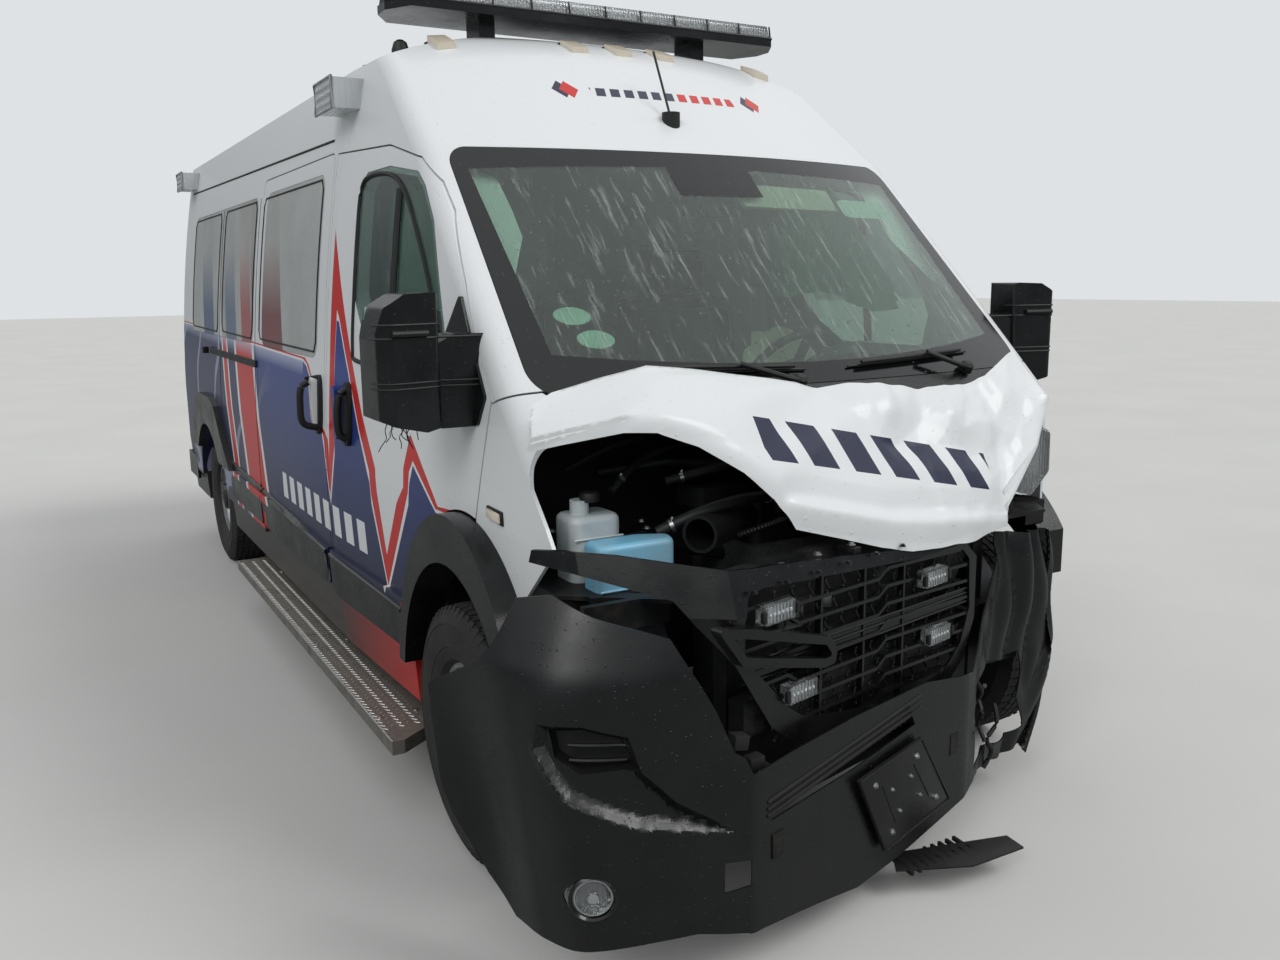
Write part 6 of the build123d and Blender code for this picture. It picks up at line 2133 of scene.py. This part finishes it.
class AMBULANCE_OT_rear(bpy.types.Operator):
    """Lamp sections, door seals, hinges' bolts, latch and step ribs at the rear"""

    bl_idname = "ambulance.rear"
    bl_label = "Rear"

    def execute(self, context):
        """Dress the tail lamps, the rear doors and the bumper's step."""
        rims = bmesh.new()
        clear = bmesh.new()
        dome = [(0, -0.001), (0.03, -0.001), (0.03, 0.002), (0.02, 0.006), (0, 0.008)]
        for side in (-1, 1):
            for z0, z1 in ((1104, 1225), (1232, 1352), (1359, 1480), (1487, 1616)):
                loop = [at(side * x, 5975, z) for x, z in ((822, z0), (898, z0), (898, z1), (822, z1))]
                tube(rims, loop + loop[:1], 0.0025, 6)
            for z in (1168, 1420):
                turned(clear, dome, at(side * 860, 5974, z), rearward, 28)
        piece("tail_lamp_rims", rims, "abs_black")
        piece("tail_lamp_bulls_eyes", clear, "lens_clear")
        for side, word in both_sides:
            body = "rear_door_" + word
            seal = bmesh.new()
            loop = [(645, 1412), (145, 1412), (145, 1998), (645, 1998)]
            run = curved([at(side * x, 5961, z) for x, z in stepped(loop, 120)], 1)
            tube(seal, run + run[:1], 0.006, 6)
            for z in (700, 1250, 2150):
                for dz in (-28, 0, 28):
                    bolt(seal, at(side * 735, 5961, z + dz), rearward, 0.006)
            piece("rear_door_seal_" + word, seal, "rubber_trim", body)
        latch = bmesh.new()
        brick(latch, at(-200, 5959, 1080), at(-60, 5967, 1220), 0.004)
        bail = [at(-185, 5964, 1150), at(-160, 5984, 1155), at(-100, 5984, 1155), at(-75, 5964, 1150)]
        tube(latch, curved(bail, 4), 0.009, 8)
        piece("rear_latch", latch, "abs_dull", "rear_door_right")
        ribs = bmesh.new()
        for x in range(-860, 861, 40):
            brick(ribs, at(x - 8, 5976, 539), at(x + 8, 5994, 543), 0.001)
        piece("rear_step_ribs", ribs, "abs_dull")
        return {"FINISHED"}


seat_pads = [
    # name      crown  corners as (x off the seat's middle, s, z) in millimetres
    ("cushion", 0.055, [(-235, 1560, 962), (235, 1560, 962), (235, 2010, 936), (-235, 2010, 936)]),
    ("back", 0.05, [(-225, 2056, 1520), (225, 2056, 1520), (235, 1972, 990), (-235, 1972, 990)]),
    ("head", 0.035, [(-115, 2100, 1748), (115, 2100, 1748), (120, 2088, 1580), (-120, 2088, 1580)]),
]


class AMBULANCE_OT_cab(bpy.types.Operator):
    """Spent airbags, seat pads, gauges and dashboard fittings"""

    bl_idname = "ambulance.cab"
    bl_label = "Cab"

    def execute(self, context):
        """Hang the airbags, then dress the seats and the dashboard."""
        self.airbag()
        self.curtains()
        self.seats()
        self.dashboard()
        return {"FINISHED"}

    def airbag(self):
        """Spent nylon bag hanging in folds from the steering wheel's hub."""
        hub = at(440, 1340, 1300)
        lean = math.radians(35)
        up = Vector((0, math.sin(lean), math.cos(lean)))
        out = Vector((0, math.cos(lean), math.sin(lean)))
        rings, spokes = 16, 64
        grids = []
        for face in (1, -1):
            grid = []
            for i in range(rings + 1):
                share = i / rings
                r = 0.012 + 0.185 * i / rings
                bulge = math.sin(math.pi * share) * 0.018 * face
                ring = []
                for k in range(spokes):
                    angle = 2 * math.pi * k / spokes
                    across, rise = math.cos(angle), math.sin(angle)
                    fold = 0.5 * math.sin(7 * angle + 1.3 * math.sin(3 * angle))
                    fold += 0.5 * noise.noise(Vector((across * 3, rise * 3, r * 20)))
                    sag = -0.05 * share**2 * (1 - rise) * 0.5
                    wide = r * (0.93 + 0.07 * fold)
                    point = hub + leftward * across * wide + up * (rise * wide + sag)
                    point += out * (0.03 + bulge + 0.014 * fold * share - 0.02 * share**2)
                    ring.append(point)
                grid.append(ring)
            grids.append(grid)
        shape = bmesh.new()
        verts = [[shape.verts.new(p) for p in ring] for ring in grids[0] + grids[1][::-1]]
        for first, second in zip(verts, verts[1:] + verts[:1]):
            banded(shape, first, second)
        bmesh.ops.recalc_face_normals(shape, faces=shape.faces)
        made = piece("driver_airbag", shape, "airbag_nylon", "steering_wheel", 60)

    def curtains(self):
        """Spent curtain airbags hanging inside both front door windows."""
        for side, word in both_sides:
            shape = bmesh.new()
            columns, rows = 60, 16
            grid = []
            for j in range(rows + 1):
                line = []
                for k in range(columns + 1):
                    s = 1190 + 950 * k / columns
                    top = min(1990, 1625 + (s - 1240) * 1.036)
                    z = top + (1515 + (s - 1100) * 0.08 - top) * j / rows
                    pleat = math.sin(k * 0.6 + 0.6 * math.sin(j * 0.5)) * (3 + 11 * j / rows)
                    ragged = 22 * math.sin(k * 0.17) * j / rows
                    tuck = 830 - max(0, z - 1900) * 0.35 - max(0, 1500 - s) * 0.06
                    line.append(shape.verts.new(at(side * (tuck + pleat), s, z - ragged)))
                grid.append(line)
            gridded(shape, grid)
            bmesh.ops.solidify(shape, geom=shape.faces[:], thickness=0.003)
            bmesh.ops.recalc_face_normals(shape, faces=shape.faces)
            made = piece("curtain_airbag_" + word, shape, "curtain_nylon", sharp=60)

    def seats(self):
        """Crowned cushion and back pads with piped seams, and head restraints."""
        for x in (-440, 440):
            word = "right" if x < 0 else "left"
            for name, rise, corners in seat_pads:
                shape = self.pad([at(x + dx, s, z) for dx, s, z in corners], rise)
                made = piece(f"seat_{name}_{word}", shape, "seat_vinyl", sharp=60)

    def pad(self, corners, rise):
        """Closed crowned pad over four corners, with two tucked seams."""
        shape = bmesh.new()
        a, b, c, d = corners
        normal = (b - a).cross(d - a).normalized()
        if normal.z < normal.y:
            normal = -normal
        count = 24
        rows = []
        for j in range(count + 1):
            v = j / count
            line = []
            for i in range(count + 1):
                u = i / count
                place = a.lerp(b, u).lerp(d.lerp(c, u), v)
                crown = (1 - abs(2 * u - 1) ** 4) * (1 - abs(2 * v - 1) ** 4)
                seam = min(abs(u - 0.22), abs(u - 0.78)) * 16
                tuck = 1 - 0.35 * math.exp(-seam * seam)
                wrinkle = 0.0015 * noise.noise(place * 14)
                line.append(shape.verts.new(place + normal * (rise * crown**0.5 * tuck + wrinkle * crown)))
            rows.append(line)
        gridded(shape, rows)
        edge = rows[0] + [r[-1] for r in rows[1:]] + rows[-1][-2::-1] + [r[0] for r in rows[-2:0:-1]]
        under = [shape.verts.new(v.co - normal * 0.012) for v in edge]
        banded(shape, edge, under)
        shape.faces.new(under)
        bmesh.ops.recalc_face_normals(shape, faces=shape.faces)
        return shape

    def dashboard(self):
        """Hooded gauges, vents, screen, gear lever and shelf lips."""
        shape = bmesh.new()
        dial = [(0.0, 0.0), (0.19, 0.0), (0.2, 0.02), (0.19, 0.05), (0.17, 0.055), (0.16, 0.02), (0.0, 0.02)]
        turned(shape, dial, at(440, 1085, 1245), Vector((0, 0.75, 0.6)), 40)
        for x in (-700, -120, 120, 700):
            for k in range(5):
                brick(shape, at(x - 60, 1152, 1165 + 12 * k), at(x + 60, 1168, 1170 + 12 * k), 0.001)
            loop = [at(x + a, 1166, z) for a, z in ((-66, 1156), (66, 1156), (66, 1226), (-66, 1226))]
            tube(shape, loop + loop[:1], 0.005, 6)
        brick(shape, at(-120, 1160, 980), at(120, 1190, 1130), 0.008)
        tube(shape, curved([at(60, 1200, 960), at(60, 1260, 1010), at(60, 1280, 1075)], 5), 0.012, 8)
        knob = [(0, -0.03), (0.024, -0.02), (0.028, 0.01), (0.02, 0.03), (0, 0.034)]
        turned(shape, knob, at(60, 1282, 1085), Vector((0, 0.1, 1)), 20)
        for x in (-780, -260, 260):
            tube(shape, [at(x, 900, 1274), at(x + 500 if x < 200 else x + 520, 900, 1274)], 0.006, 6)
        piece("dashboard_fittings", shape, "vinyl_grey")
        screen = bmesh.new()
        brick(screen, at(-100, 1188, 1010), at(100, 1193, 1120), 0.002)
        piece("dashboard_screen", screen, "abs_black")


operators = [
    AMBULANCE_OT_finishes,
    AMBULANCE_OT_bumper,
    AMBULANCE_OT_hood,
    AMBULANCE_OT_grille,
    AMBULANCE_OT_engine_bay,
    AMBULANCE_OT_windshield,
    AMBULANCE_OT_doors,
    AMBULANCE_OT_sides,
    AMBULANCE_OT_wheels,
    AMBULANCE_OT_mirrors,
    AMBULANCE_OT_roof,
    AMBULANCE_OT_steps,
    AMBULANCE_OT_rear,
    AMBULANCE_OT_cab,
    AMBULANCE_OT_stage,
]


class AMBULANCE_PT_panel(bpy.types.Panel):
    """Sizes, colours and pieces of the ambulance"""

    bl_idname = "AMBULANCE_PT_panel"
    bl_label = "Ambulance"
    bl_space_type = "VIEW_3D"
    bl_region_type = "UI"
    bl_category = "Ambulance"

    def draw(self, context):
        """List the sizes and the operators."""
        looks = context.scene.ambulance_looks
        for name in AmbulanceLooks.__annotations__:
            self.layout.prop(looks, name)
        for operator in operators:
            self.layout.operator(operator.bl_idname)


def register():
    """Add the classes and the scene's settings."""
    bpy.utils.register_class(AmbulanceLooks)
    for operator in operators:
        bpy.utils.register_class(operator)
    bpy.utils.register_class(AMBULANCE_PT_panel)
    bpy.types.Scene.ambulance_looks = bpy.props.PointerProperty(type=AmbulanceLooks)


def unregister():
    """Take the classes and the scene's settings away."""
    del bpy.types.Scene.ambulance_looks
    bpy.utils.unregister_class(AMBULANCE_PT_panel)
    for operator in reversed(operators):
        bpy.utils.unregister_class(operator)
    bpy.utils.unregister_class(AmbulanceLooks)


def main():
    """Make every piece."""
    register()
    for operator in operators:
        group, name = operator.bl_idname.split(".")
        getattr(getattr(bpy.ops, group), name)()


if __name__ == "__main__":
    main()
